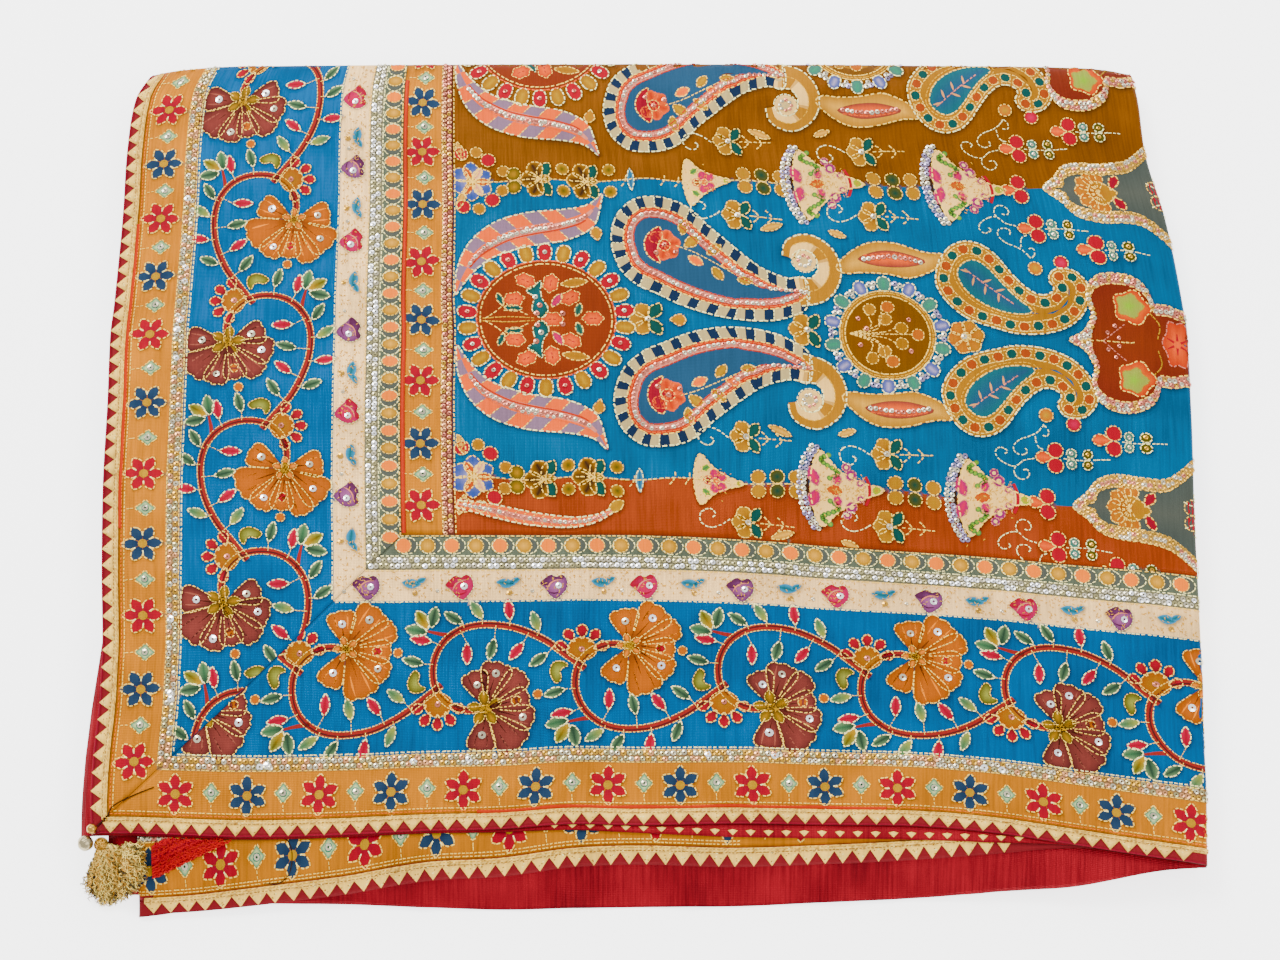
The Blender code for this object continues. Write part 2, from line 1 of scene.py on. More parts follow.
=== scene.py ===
import math

import bpy
import numpy as np
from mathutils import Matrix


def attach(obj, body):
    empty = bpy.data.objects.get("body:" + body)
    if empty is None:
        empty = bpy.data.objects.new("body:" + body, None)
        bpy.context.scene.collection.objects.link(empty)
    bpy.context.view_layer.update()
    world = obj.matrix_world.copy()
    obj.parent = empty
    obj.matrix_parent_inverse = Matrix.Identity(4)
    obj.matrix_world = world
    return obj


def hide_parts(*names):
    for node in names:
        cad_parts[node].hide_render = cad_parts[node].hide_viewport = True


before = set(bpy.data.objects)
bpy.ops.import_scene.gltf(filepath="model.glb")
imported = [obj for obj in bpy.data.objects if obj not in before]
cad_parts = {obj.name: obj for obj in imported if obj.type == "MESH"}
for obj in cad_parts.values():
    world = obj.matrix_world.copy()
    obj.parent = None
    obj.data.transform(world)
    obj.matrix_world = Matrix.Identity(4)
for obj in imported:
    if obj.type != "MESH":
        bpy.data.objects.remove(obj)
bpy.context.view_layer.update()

mm = 0.001
dice = np.random.default_rng(11)


# camera, floor and light
cameraSetup = {"aim": (-0.0061, -0.0160, 0.027), "distance": 1.64, "elevation": 70.0, "lens": 69.1}
studio = {
    "floorColour": "#FFFFFF", "floorGlow": 2.6, "floorHalf": 4.0,
    "worldColour": "#FFFFFF", "worldStrength": 1.35, "lightPower": 46.0,
    # name, place and size in metres, share of the power
    "lights": (("key", (-1.3, 1.7, 2.6), (1.5, 1.2), 2.1), ("fill", (1.3, -0.6, 1.7), (1.3, 1.0), 0.45),
               ("glow", (0.0, 1.6, 0.9), (1.6, 0.5), 0.35)),
}


def linear(code):
    parts = [int(code[k:k + 2], 16) / 255 for k in (1, 3, 5)]
    return np.array([p / 12.92 if p <= 0.04045 else ((p + 0.055) / 1.055) ** 2.4 for p in parts])


def addNode(tree, kind, settings=None, links=None):
    # settings: socket name or node property; links: socket name -> output socket
    node = tree.nodes.new(kind)
    for key, value in (settings or {}).items():
        if key in node.inputs:
            node.inputs[key].default_value = value
        else:
            setattr(node, key, value)
    for key, source in (links or {}).items():
        tree.links.new(source, node.inputs[key])
    return node


def makeCamera():
    data = bpy.data.cameras.new("camera")
    data.lens = cameraSetup["lens"]
    data.sensor_width = 36.0
    camera = bpy.data.objects.new("camera", data)
    rise = math.radians(cameraSetup["elevation"])
    aim, reach = cameraSetup["aim"], cameraSetup["distance"]
    camera.location = (aim[0], aim[1] - reach * math.cos(rise), aim[2] + reach * math.sin(rise))
    camera.rotation_euler = (math.pi / 2 - rise, 0, 0)
    bpy.context.collection.objects.link(camera)
    bpy.context.scene.camera = camera


def makeLight(name, place, aim, size, power):
    data = bpy.data.lights.new(name, "AREA")
    data.shape = "RECTANGLE"
    data.size, data.size_y = size
    data.energy = power
    light = bpy.data.objects.new(name, data)
    light.location = place
    run = np.array(aim) - np.array(place)
    light.rotation_euler = (-math.acos(-run[2] / np.linalg.norm(run)), 0,
                            math.atan2(run[1], run[0]) + math.pi / 2)
    bpy.context.collection.objects.link(light)


def makeStudio():
    floorMaterial = bpy.data.materials.new("matt paper floor")
    floorMaterial.use_nodes = True
    shader = floorMaterial.node_tree.nodes["Principled BSDF"]
    shader.inputs["Base Color"].default_value = (*linear(studio["floorColour"]), 1)
    shader.inputs["Roughness"].default_value = 0.9
    shader.inputs["Emission Color"].default_value = (1, 1, 1, 1)
    shader.inputs["Emission Strength"].default_value = studio["floorGlow"]
    mesh = bpy.data.meshes.new("floor")
    half = studio["floorHalf"]
    corners = [(-half, -half, 0), (half, -half, 0), (half, half, 0), (-half, half, 0)]
    mesh.from_pydata(corners, [], [(0, 1, 2, 3)])
    floor = bpy.data.objects.new("floor", mesh)
    mesh.materials.append(floorMaterial)
    bpy.context.collection.objects.link(floor)
    world = bpy.data.worlds.new("studio")
    world.use_nodes = True
    background = world.node_tree.nodes["Background"]
    background.inputs["Color"].default_value = (*linear(studio["worldColour"]), 1)
    background.inputs["Strength"].default_value = studio["worldStrength"]
    bpy.context.scene.world = world
    for name, place, size, share in studio["lights"]:
        makeLight(name, place, (0, 0, 0), size, studio["lightPower"] * share)


makeCamera()
makeStudio()
print("camera and studio ready")

# the pack: its own sizes, in millimetres, as in the part's source
pack = {
    "pitch": 1.7, "hidden": 12, "length": 716.0, "depth": 552.0,
    "centre": (6.1, 16.0), "border": 197.0, "endBorder": 232.0,
    "rampStart": -2.0, "rampLength": 47.0, "swell": 0.8,
    "leftDroop": (25.0, 4.0), "rightDroop": (30.0, 2.5), "backDroop": (28.0, 5.0),
}
acrossPack = {   # at one distance along: front edge, border line, back fold, and how far the layers reach out
    "at": (0, 50, 100, 160, 215, 265, 310, 354, 417, 475, 533, 584, 635, 686, 716),
    "front": (-238, -239.8, -241.3, -239.9, -237.2, -235.8, -232.5, -233.2, -232.2, -233.1, -234, -238.4,
              -246.2, -254.1, -258),
    "border": (-38.7, -38.7, -38.7, -38.7, -38.7, -38.7, -38.7, -38.7, -41.5, -46.5, -50.7, -54.5,
               -59.5, -64, -66.5),
    "back": (308, 313, 314, 314.5, 314.8, 315, 315, 315, 315, 314.8, 314.5, 314, 313.5, 312, 308.5),
    "second": (1, 1, 1, 1, 1, 1.5, 3, 4, 7, 7, 7, 5, 0, -3, -4),
    "third": (48, 44.5, 38.5, 33, 27.5, 26, 23.5, 21.5, 23.5, 21.3, 18, 11, 1, -5, -8),
    "fourth": (36, 37, 37, 39, 43.5, 46.5, 49, 47.5, 48, 44.5, 41, 33, 23, 7.5, 1),
}
alongPack = {    # at one distance back: left edge, end border line, right fold, and the layers' left sides
    "at": (0, 20, 50, 85, 100, 125, 175, 237, 295, 346, 370, 440, 490, 530, 552),
    "left": (-346.5, -349, -349.5, -348.2, -348.6, -349.3, -353.7, -357.5, -358.8, -360.6, -359.6, -358.5,
             -359, -356, -347),
    "border": (-121.5, -121.6, -121.7, -121.8, -121.8, -121.9, -122, -124.8, -127, -127.5, -129, -130,
               -132, -133, -133.5),
    "right": (355.8, 357, 359, 360, 360.6, 362, 363.8, 365.8, 369, 370.6, 370.8, 363.2, 352.5, 350, 348),
    "second": (8, 6.5, 6, 5.5, 2.6, 0, -1, -1, -1, -1, -1, -1, -1, -1, -1),
    "third": (31, 28, 24, 18, 16, 14, 12, 10, 10, 10, 10, 10, 10, 10, 10),
}
layers = {       # level and fold radii in pitches, above zero where the cloth turns down
    "top": dict(level=3.5, left=0.0, right=1.5, back=0.5),
    "second": dict(level=2.5, left=0.0, right=0.0, back=-0.5),
    "third": dict(level=1.5, left=1.5, right=0.0, back=0.5),
    "fourth": dict(level=0.5, left=0.0, right=-1.5, back=-0.5),
}
# soft creases: a line in cloth millimetres, its half width and its height
creases = (
    dict(start=(372, 210), end=(361, 548), spread=9.0, height=1.3),
    dict(start=(520, 205), end=(533, 540), spread=11.0, height=1.0),
    dict(start=(655, 230), end=(668, 470), spread=9.0, height=1.3),
    dict(start=(684, 40), end=(690, 540), spread=8.0, height=1.1),
    dict(start=(243, 250), end=(236, 540), spread=13.0, height=-0.85),
    dict(start=(60, 170), end=(64, 530), spread=14.0, height=-0.75),
    dict(start=(300, 30), end=(322, 190), spread=12.0, height=0.95),
    dict(start=(180, 20), end=(196, 170), spread=12.0, height=-0.75),
    dict(start=(430, 18), end=(452, 200), spread=13.0, height=1.1),
    dict(start=(560, 10), end=(575, 180), spread=12.0, height=-0.85),
    dict(start=(20, 300), end=(180, 312), spread=13.0, height=0.95),
    dict(start=(14, 420), end=(170, 408), spread=14.0, height=-0.75),
    dict(start=(450, 330), end=(600, 300), spread=16.0, height=-0.75),
)
# waves of the layers that reach out in front, along the pack in millimetres
frontWaves = {
    "fourth": ((46, 9, 0.8), (88, 12, -0.7), (131, 8, 0.9), (170, 13, -0.6), (214, 9, 1.0), (257, 12, -0.7),
               (300, 10, 0.9), (349, 14, -0.8), (392, 10, 1.0), (441, 12, -0.6), (486, 9, 0.8),
               (527, 13, -0.7), (570, 9, 0.8), (612, 11, -0.6)),
    "third": ((70, 14, 0.5), (118, 16, -0.45), (168, 13, 0.5), (231, 17, -0.5), (290, 15, 0.55),
              (352, 16, -0.5), (410, 14, 0.5), (470, 17, -0.4)),
}


def readLine(table, column, where):
    # smooth curve through one column of a table, where and result in metres
    at, values = np.array(table["at"], float), np.array(table[column], float)
    where = np.clip(np.asarray(where, float) / mm, at[0], at[-1])
    start = np.clip(np.searchsorted(at, where, side="right") - 1, 0, len(at) - 2)
    before, end = np.maximum(start - 1, 0), start + 1
    after = np.minimum(start + 2, len(at) - 1)
    span = at[end] - at[start]
    share = (where - at[start]) / span
    slopeStart = (values[end] - values[before]) / (at[end] - at[before])
    slopeEnd = (values[after] - values[start]) / (at[after] - at[start])
    square, cube = share ** 2, share ** 3
    value = ((2 * cube - 3 * square + 1) * values[start] + (cube - 2 * square + share) * span * slopeStart
             + (3 * square - 2 * cube) * values[end] + (cube - square) * span * slopeEnd)
    return value * mm


packLength, packDepth = pack["length"] * mm, pack["depth"] * mm
border, endBorder, pitch = pack["border"] * mm, pack["endBorder"] * mm, pack["pitch"] * mm
quarterTurn = math.pi / 2
rightLimit = packLength + layers["top"]["right"] * pitch * quarterTurn
backLimit = packDepth + layers["top"]["back"] * pitch * quarterTurn


def smooth(share):
    share = np.clip(share, 0, 1)
    return share * share * (3 - 2 * share)


def plan(u, v):
    left, inner = readLine(alongPack, "left", v), readLine(alongPack, "border", v)
    right = readLine(alongPack, "right", v)
    front, line = readLine(acrossPack, "front", u), readLine(acrossPack, "border", u)
    back = readLine(acrossPack, "back", u)
    x = np.where(u <= 0, left + u, np.where(u <= endBorder, left + (inner - left) * u / endBorder,
                 inner + (right - inner) * (u - endBorder) / (packLength - endBorder)))
    y = np.where(v <= 0, front + v, np.where(v <= border, front + (line - front) * v / border,
                 line + (back - line) * (v - border) / (packDepth - border)))
    return x - pack["centre"][0] * mm, y - pack["centre"][1] * mm


def creaseHeight(u, v):
    height = np.zeros(np.broadcast(u, v).shape)
    for row in creases:
        start, end = np.array(row["start"]) * mm, np.array(row["end"]) * mm
        run = end - start
        size = np.linalg.norm(run)
        along = ((u - start[0]) * run[0] + (v - start[1]) * run[1]) / size
        aside = ((u - start[0]) * -run[1] + (v - start[1]) * run[0]) / size
        aside = aside + 2.5 * mm * np.sin(along * 31)
        reach = smooth((along + 0.02) / 0.05) * smooth((size + 0.02 - along) / 0.05)
        height += row["height"] * mm * reach * np.exp(-(aside / (row["spread"] * mm)) ** 2)
    return height


def baseHeight(u, v):
    height = pack["hidden"] * pitch
    for distance, (reach, depth) in ((u, pack["leftDroop"]), (packLength - u, pack["rightDroop"]),
                                     (packDepth - v, pack["backDroop"])):
        height = height - depth * mm * np.maximum(0, 1 - distance / (reach * mm)) ** 2
    height = height + pack["swell"] * mm * np.sin(11 * u + 0.8) * np.cos(9 * v - 0.6)
    fall = smooth((pack["rampStart"] * mm - v) / (pack["rampLength"] * mm))
    return (height + creaseHeight(u, v) * 0.8) * (1 - fall)


def unit(vectors):
    return vectors / np.maximum(np.linalg.norm(vectors, axis=-1, keepdims=True), 1e-12)


def baseFrame(u, v):
    def point(a, b):
        x, y = plan(a, b)
        return np.stack([x, y, baseHeight(a, b)], -1)
    step = 0.5 * mm
    along = unit(point(u + step, v) - point(u - step, v))
    back = unit(point(u, v + step) - point(u, v - step))
    return point(u, v), unit(np.cross(along, back)), along, back


def waveHeight(layer, u, v):
    # waves grow where nothing lies on the layer
    if layer not in frontWaves:
        return 0.0
    cover = -readLine(acrossPack, "third", u) if layer == "fourth" else 0.0 * u
    free = smooth((cover + 0.003 - v) / 0.018)
    total = 0.0
    for at, spread, height in frontWaves[layer]:
        lean = at * mm + (v + 0.02) * 0.22 * math.sin(at)
        total = total + height * mm * np.exp(-((u - lean) / (spread * mm)) ** 2)
    return total * free


def clothFrame(layer, u, v):
    # middle of a layer and its normal, with its folds
    fold = layers[layer]
    u, v = np.asarray(u, float), np.asarray(v, float)
    leftEdge = readLine(alongPack, "third", v) if fold["left"] else u
    heldU = np.maximum(u, leftEdge)
    if fold["right"]:
        heldU = np.minimum(heldU, packLength)
    heldV = np.minimum(v, packDepth)
    point, normal, along, back = baseFrame(heldU, heldV)
    lift = fold["level"] * pitch + waveHeight(layer, heldU, heldV)
    point = point + normal * np.broadcast_to(lift, heldU.shape)[..., None]
    sideRadius = np.where(u < heldU, fold["left"] or 1.0, fold["right"] or 1.0) * pitch
    side = np.abs(u - heldU) / np.abs(sideRadius)
    rear = (v - heldV) / (abs(fold["back"]) * pitch)
    angle = np.clip(np.maximum(side, rear), 0, math.pi / 2)
    weight = side ** 2 / np.maximum(side ** 2 + rear ** 2, 1e-12)
    radius = fold["back"] * pitch + (sideRadius - fold["back"] * pitch) * weight
    outward = along * (np.sign(u - heldU) * side)[..., None] + back * rear[..., None]
    outward = unit(outward) * (angle > 0)[..., None]
    size, turn = np.abs(radius)[..., None], np.sign(radius)[..., None]
    angle = angle[..., None]
    middle = point + outward * size * np.sin(angle) - normal * turn * size * (1 - np.cos(angle))
    facing = unit(normal * np.cos(angle) + outward * turn * np.sin(angle))
    return middle, facing


# colours of the cloth, thread and foil
palette = {
    "blue": "#0672AF", "fieldBlue": "#0876A8", "ochre": "#D6982C", "brown": "#9E5E0E", "rust": "#BE5426",
    "cream": "#ECD6B4", "peachStrip": "#B8966A", "silverStrip": "#9E987A", "redStrip": "#9C5040",
    "dotGround": "#76806A", "binding": "#B02A35", "satin": "#BE2434", "navy": "#34567A", "red": "#D2243C",
    "green": "#52AC88", "leafGreen": "#4E8A5A", "darkGreen": "#175A44", "teal": "#1E7E88",
    "yellow": "#CFAA0A", "peach": "#F5A564", "dotOchre": "#C89C3A", "coral": "#F58E62", "mauve": "#A98AA0",
    "magenta": "#C42E8A", "tan": "#C9963F", "lightTan": "#E2BE7C", "olive": "#6C6412", "pink": "#EC3F74",
    "purple": "#8E4A84", "deepPurple": "#74305A", "sky": "#5AB0D0", "maroon": "#A84E44",
    "deepMaroon": "#6A2828", "orange": "#D6821E", "deepOrange": "#C06A14", "stem": "#BE3A32",
    "stitchGold": "#FAE4AE", "stitchPale": "#F3EFCE", "lace": "#FBE5B0", "laceGold": "#E2BE74",
    "piping": "#E0532A", "disc": "#A6421C", "smallDisc": "#96600E", "steel": "#34688E",
    "checkNavy": "#1F3A60", "checkCream": "#CDBE98", "periwinkle": "#5B6FC0", "greyGreen": "#5E9A8A",
    "ogee": "#9A341C", "greyZone": "#5F6A62", "lime": "#A8C83C", "silver": "#D8D3C4", "lilac": "#BDB4CC",
    "rose": "#E3A594", "goldFoil": "#DDBE7C", "darkLine": "#4A2C18", "rimGold": "#C08A2A",
    "dotGreen": "#0F6660", "dotRust": "#C8602A", "fanCream": "#EBD2A4", "crimson": "#B81C3C",
    "royal": "#2A5CB8", "grey": "#6E7468", "thread": "#F23E4E", "bowl": "#C8203A",
    "tasselHighlightCream": "#FFF2C4", "tasselGold": "#DDB468", "tasselGapShadeBrown": "#3E2810", "mustard": "#C08C14",
    "paleOlive": "#B4B66C", "magentaPink": "#D23472", "burntOrange": "#8E4410", "orangeLight": "#F0AE50",
    "maroonLight": "#C0705C", "peachSequin": "#E4BC9C", "oldSilver": "#CCC6A6", "calyx": "#5E2412",
    # the pure white is sequin foil that also stands in for glints: painted glints
    "paleLeaf": "#93B088", "leafDark": "#34583F", "orchid": "#C47CB0", "sparkle": "#FFFFFF",
}
dye = {"studioLight": 2.68, "mute": 0.58, "lift": 3.4, "power": 2.8, "purity": 2.42, "paler": 0.54,
       "least": 0.0004, "most": 0.93}
brightness = (0.2126, 0.7152, 0.0722)


def dyed(code):
    # the palette holds colours as they look; in the bright studio the dyes are deeper, the pale ones purer
    seen = linear(code)
    bright = seen @ brightness
    muted = bright + (seen - bright) * (1 - dye["mute"])
    deep = muted * (1 + dye["lift"] * muted ** dye["power"]) / dye["studioLight"]
    grey = deep @ brightness
    deep = grey + (deep - grey) * (dye["purity"] - dye["paler"] * bright)
    return np.clip(deep / max(1.0, deep.max() / dye["most"]), dye["least"], dye["most"])


colour = {name: dyed(code) for name, code in palette.items()}


def tone(tint):
    # a palette name or a colour already worked out
    return colour[tint] if isinstance(tint, str) else tint


bandStops = (11, 41, 50, 152, 173, 182, 197)       # from the cut edge, mm
bandColours = ("ochre", "peachStrip", "blue", "cream", "silverStrip", "dotGround")
weaveSetup = {"slubScale": (620.0, 26.0, 1.0), "patchScale": 24.0, "waveScale": 0.32, "waveBend": 0.4,
              "reliefMm": 0.25}


def makeMaterial(name, roughness, metallic=0.0, flat=None, slub=0.10, threadMm=1.1, bump=0.12, specular=0.5):
    # thread by thread colour from the attribute, slubs along the weft and a fine weave in the bump
    material = bpy.data.materials.new(name)
    material.use_nodes = True
    tree = material.node_tree
    shader = tree.nodes["Principled BSDF"]
    shader.inputs["Roughness"].default_value = roughness
    shader.inputs["Metallic"].default_value = metallic
    shader.inputs["Specular IOR Level"].default_value = specular
    if flat is None:
        ground = addNode(tree, "ShaderNodeAttribute", {"attribute_name": "tint"}).outputs["Color"]
    else:
        ground = addNode(tree, "ShaderNodeRGB").outputs[0]
        ground.default_value = (*linear(flat), 1)
    cloth = addNode(tree, "ShaderNodeUVMap", {"uv_map": "cloth"}).outputs[0]

    def scaled(scale):
        return addNode(tree, "ShaderNodeMapping", {"Scale": scale}, {"Vector": cloth}).outputs[0]

    def noise(scale, detail, place):
        settings = {"Scale": scale, "Detail": detail}
        return addNode(tree, "ShaderNodeTexNoise", settings, {"Vector": place}).outputs[0]

    def added(first, second):
        return addNode(tree, "ShaderNodeMath", {"operation": "ADD"}, {0: first, 1: second}).outputs[0]

    def threads(direction):
        settings = {"bands_direction": direction, "Scale": weaveSetup["waveScale"],
                    "Distortion": weaveSetup["waveBend"], "Detail": 1.0}
        return addNode(tree, "ShaderNodeTexWave", settings, {"Vector": weave}).outputs["Fac"]
    slubs = noise(1.0, 3.0, scaled(weaveSetup["slubScale"]))
    patches = noise(weaveSetup["patchScale"], 2.0, cloth)
    spread = {"From Min": 0.7, "From Max": 1.3, "To Min": 1 - slub, "To Max": 1 + slub}
    change = addNode(tree, "ShaderNodeMapRange", spread, {"Value": added(slubs, patches)}).outputs[0]
    shaded = addNode(tree, "ShaderNodeVectorMath", {"operation": "SCALE"}, {0: ground, "Scale": change})
    tree.links.new(shaded.outputs[0], shader.inputs["Base Color"])
    weave = scaled((1 / (threadMm * mm),) * 3)
    height = added(added(threads("X"), threads("Y")), slubs)
    depth = {"Strength": bump, "Distance": weaveSetup["reliefMm"] * mm}
    relief = addNode(tree, "ShaderNodeBump", depth, {"Height": height})
    tree.links.new(relief.outputs[0], shader.inputs["Normal"])
    return material


finishes = {
    # dyed silk satin: clear colour with a soft glow where it turns to the light; its strong cloudy light and
    # dark patches are partly painted sheen
    "printedSilk": makeMaterial("printed silk satin, woven", 0.4, metallic=0.25, slub=0.27, bump=0.25,
                                specular=0.03),
    # thin dye on the same cloth: the motifs keep the cloth's slubs
    "motifSilk": makeMaterial("block printed silk", 0.48, metallic=0.15, slub=0.14, bump=0.25, specular=0.03),
    # satin lining, weft floats up: brighter streaks across the edge
    "facing": makeMaterial("red satin facing, woven", 0.36, metallic=0.4, slub=0.42, bump=0.4, specular=0.05),
    # matt folded strip: plain deep red beside the bright lace
    "binding": makeMaterial("red silk binding, folded", 0.5, metallic=0.15, slub=0.12, bump=0.25,
                            specular=0.05),
    # metal wound thread: broken bright dashes
    "zari": makeMaterial("zari thread, metal wound", 0.42, metallic=0.22, slub=0.2, threadMm=0.6, bump=0.2,
                         specular=0.1),
    # punched foil: hard small glints
    "sequin": makeMaterial("sequin foil, punched", 0.16, metallic=0.85, slub=0.05, bump=0.0),
    # woven cream lace: a grainy pale line
    "lace": makeMaterial("cream and gold lace, woven", 0.5, metallic=0.1, slub=0.2, threadMm=0.9, bump=0.4,
                         specular=0.3),
    # crinkled metal thread: broken glints all through the tassel
    "goldThread": makeMaterial("gold crinkled thread", 0.36, metallic=0.6, slub=0.1, bump=0.0),
    # twisted floss: deep red with a soft shine
    "redThread": makeMaterial("red silk floss, twisted", 0.45, metallic=0.2, slub=0.08, bump=0.0,
                              specular=0.05),
    # plated beads: small dark and bright reflections
    "goldBead": makeMaterial("gold plated bead, turned", 0.24, metallic=1.0, flat="#B88A3A", slub=0.1,
                             bump=0.0),
    "silverBead": makeMaterial("silver plated bead, cast", 0.26, metallic=1.0, flat="#A79A78", slub=0.15,
                               bump=0.1),
}


def meshObject(name, points, quads, tris, material, tints, uv, cornerTints=None, faceMaterials=None,
               bakeUv=None):
    quads = np.asarray(quads, dtype=np.int64).reshape(-1, 4)
    tris = np.asarray(tris, dtype=np.int64).reshape(-1, 3)
    mesh = bpy.data.meshes.new(name)
    mesh.vertices.add(len(points))
    mesh.vertices.foreach_set("co", np.asarray(points, float).ravel())
    loops = np.concatenate([quads.ravel(), tris.ravel()])
    mesh.loops.add(len(loops))
    mesh.loops.foreach_set("vertex_index", loops)
    starts = np.concatenate([np.arange(len(quads)) * 4, len(quads) * 4 + np.arange(len(tris)) * 3])
    mesh.polygons.add(len(starts))
    mesh.polygons.foreach_set("loop_start", starts)
    mesh.update(calc_edges=True)
    mesh.shade_smooth()
    kind, given, number = "POINT", tints, len(points)
    if cornerTints is not None:
        kind, given, number = "CORNER", cornerTints, len(loops)
    values = np.ones((number, 4))
    values[:, :3] = given
    data = mesh.color_attributes.new("tint", "FLOAT_COLOR", kind)
    data.data.foreach_set("color", values.ravel())
    bake = mesh.uv_layers.new(name="OFBake")
    if bakeUv is None:
        low, high = uv.min(axis=0), uv.max(axis=0)
        bakeUv = ((uv - low) / np.maximum(high - low, 1e-6) * 0.98 + 0.01)[loops]
    bake.data.foreach_set("uv", bakeUv.ravel())
    clothMap = mesh.uv_layers.new(name="cloth")
    clothMap.data.foreach_set("uv", uv[loops].ravel())
    for item in material if isinstance(material, (list, tuple)) else [material]:
        mesh.materials.append(item)
    if faceMaterials is not None:
        mesh.polygons.foreach_set("material_index", faceMaterials)
    mesh.validate()
    piece = bpy.data.objects.new(name, mesh)
    bpy.context.collection.objects.link(piece)
    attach(piece, "root")
    return piece


# the cloth sheets
sheetSetup = {"faceUp": 0.6, "faceDown": -0.3, "step": 4.0, "joinGap": 0.15, "endRows": 132, "sideRows": 170}


def gridFaces(rows, columns):
    # faces of a grid of points, and the ring of points round its rim
    grid = np.arange(rows * columns).reshape(rows, columns)
    faces = np.stack([grid[:-1, :-1], grid[:-1, 1:], grid[1:, 1:], grid[1:, :-1]], -1).reshape(-1, 4)
    return faces, np.concatenate([grid[0, :-1], grid[:-1, -1], grid[-1, :0:-1], grid[:0:-1, 0]])


def clothShell(name, layer, u, v, upTint, downTint, materials):
    # closed thin shell over a grid of cloth places; tints are per cell
    rows, columns = u.shape
    middle, normal = clothFrame(layer, u.ravel(), v.ravel())
    count = rows * columns
    points = np.concatenate([middle + normal * sheetSetup["faceUp"] * mm,
                             middle + normal * sheetSetup["faceDown"] * mm])
    up, rim = gridFaces(rows, columns)
    down = up[:, ::-1] + count
    after = np.roll(rim, -1)
    side = np.stack([rim + count, after + count, after, rim], -1)
    quads = np.concatenate([up, down, side])
    place = np.tile(np.stack([u.ravel(), v.ravel()], -1), (2, 1))
    cells = (rows - 1) * (columns - 1)
    upTint, downTint = (np.broadcast_to(tint, (rows - 1, columns - 1, 3)).reshape(-1, 3)
                        for tint in (upTint, downTint))
    tints = np.concatenate([upTint, downTint, np.broadcast_to(colour["darkLine"], (len(side), 3))])
    low, high = place.min(axis=0), place.max(axis=0)
    share = (place - low) / (high - low)
    bake = np.empty((len(quads) * 4, 2))
    bake[:cells * 4] = share[up.ravel()] * (0.76, 0.98) + (0.01, 0.01)
    bake[cells * 4:cells * 8] = share[down.ravel()] * (0.17, 0.98) + (0.82, 0.01)
    steps, wide = np.arange(len(side)) / len(side), 1 / len(side)
    corners = ((0.785, 0), (0.785, wide), (0.805, wide), (0.805, 0))
    rimUv = [np.stack([np.full(len(side), across), steps + more], -1) for across, more in corners]
    bake[cells * 8:] = np.stack(rimUv, 1).reshape(-1, 2)
    faceMaterials = np.concatenate([np.zeros(cells), np.full(cells, len(materials) - 1),
                                    np.zeros(len(side))]).astype(np.int32)
    return meshObject(name, points, quads, [], materials, None, place,
                      cornerTints=np.repeat(tints, 4, axis=0), faceMaterials=faceMaterials, bakeUv=bake)


def stops(*values, step=None):
    # lines through the given places in mm, no further apart than the step
    step = step or sheetSetup["step"]
    out = [values[0]]
    for first, last in zip(values, values[1:]):
        count = max(1, int(math.ceil((last - first) / step)))
        out += [first + (last - first) * (k + 1) / count for k in range(count)]
    return np.array(out)


def bandTint(depth):
    # colour of the border at a depth from the cut edge, per cell
    index = np.searchsorted(np.array(bandStops), depth, side="right") - 1
    index = np.clip(index, 0, len(bandColours) - 1)
    return np.array([colour[name] for name in bandColours])[index]


def cellMiddles(values):
    return (values[:-1, :-1] + values[1:, 1:]) / 2


silk, motif, facing = finishes["printedSilk"], finishes["motifSilk"], finishes["facing"]
foldRight = list(packLength / mm + 1.5 * pack["pitch"] * math.pi / 2 * np.array([0.25, 0.5, 0.75, 1.0]))
foldBack = list(packDepth / mm + 0.5 * pack["pitch"] * math.pi / 2 * np.array([0.35, 0.7, 1.0]))
sheets = {}


def makeStrip(name, side, depths, tintOf, material):
    # a strip of the border from its cut edge inwards, mitred at the corner
    length, folds = (pack["depth"], foldBack) if side == "end" else (pack["length"], foldRight)
    gap = sheetSetup["joinGap"]
    shares = stops(0, 1, step=1 / sheetSetup[side + "Rows"])
    depth = np.broadcast_to(depths, (len(shares) + len(folds), len(depths)))
    along = depths[None] + gap + (length - depths[None] - gap) * shares[:, None]
    along = np.concatenate([along] + [np.full((1, len(depths)), line) for line in folds])
    u, v = (depth, along) if side == "end" else (along.T, depth.T)
    tints = tintOf(cellMiddles(u if side == "end" else v))
    return clothShell(name, "top", u * mm, v * mm, tints, colour["satin"], [material, facing])


def plainRed(depth):
    return np.broadcast_to(colour["binding"], depth.shape + (3,))


bandLines, edgeLines = stops(*bandStops), stops(0, 11, step=2.8)
for part, word, lines, tintOf, material in (("border", "border_cloth", bandLines, bandTint, silk),
                                            ("edging", "binding", edgeLines, plainRed, finishes["binding"])):
    for side in ("end", "side"):
        sheets["top_%s_%s" % (side, part)] = makeStrip(side + "_" + word, side, lines, tintOf, material)


def innerTint(u):
    return np.where((u < 224)[..., None], colour["ochre"], colour["redStrip"])


def panelLine(u, at):
    # line where two panels of the field meet, slightly wavy
    return at + 1.2 * np.sin(u * 0.09 + at)


panelLines = (237.0, 459.0)


def panelTint(v, first=panelLines[0], second=panelLines[1]):
    # the field's panels from front to back: rust, blue, ochre brown
    behind = np.where((v < second)[..., None], colour["fieldBlue"], colour["brown"])
    return np.where((v < first)[..., None], colour["rust"], behind)


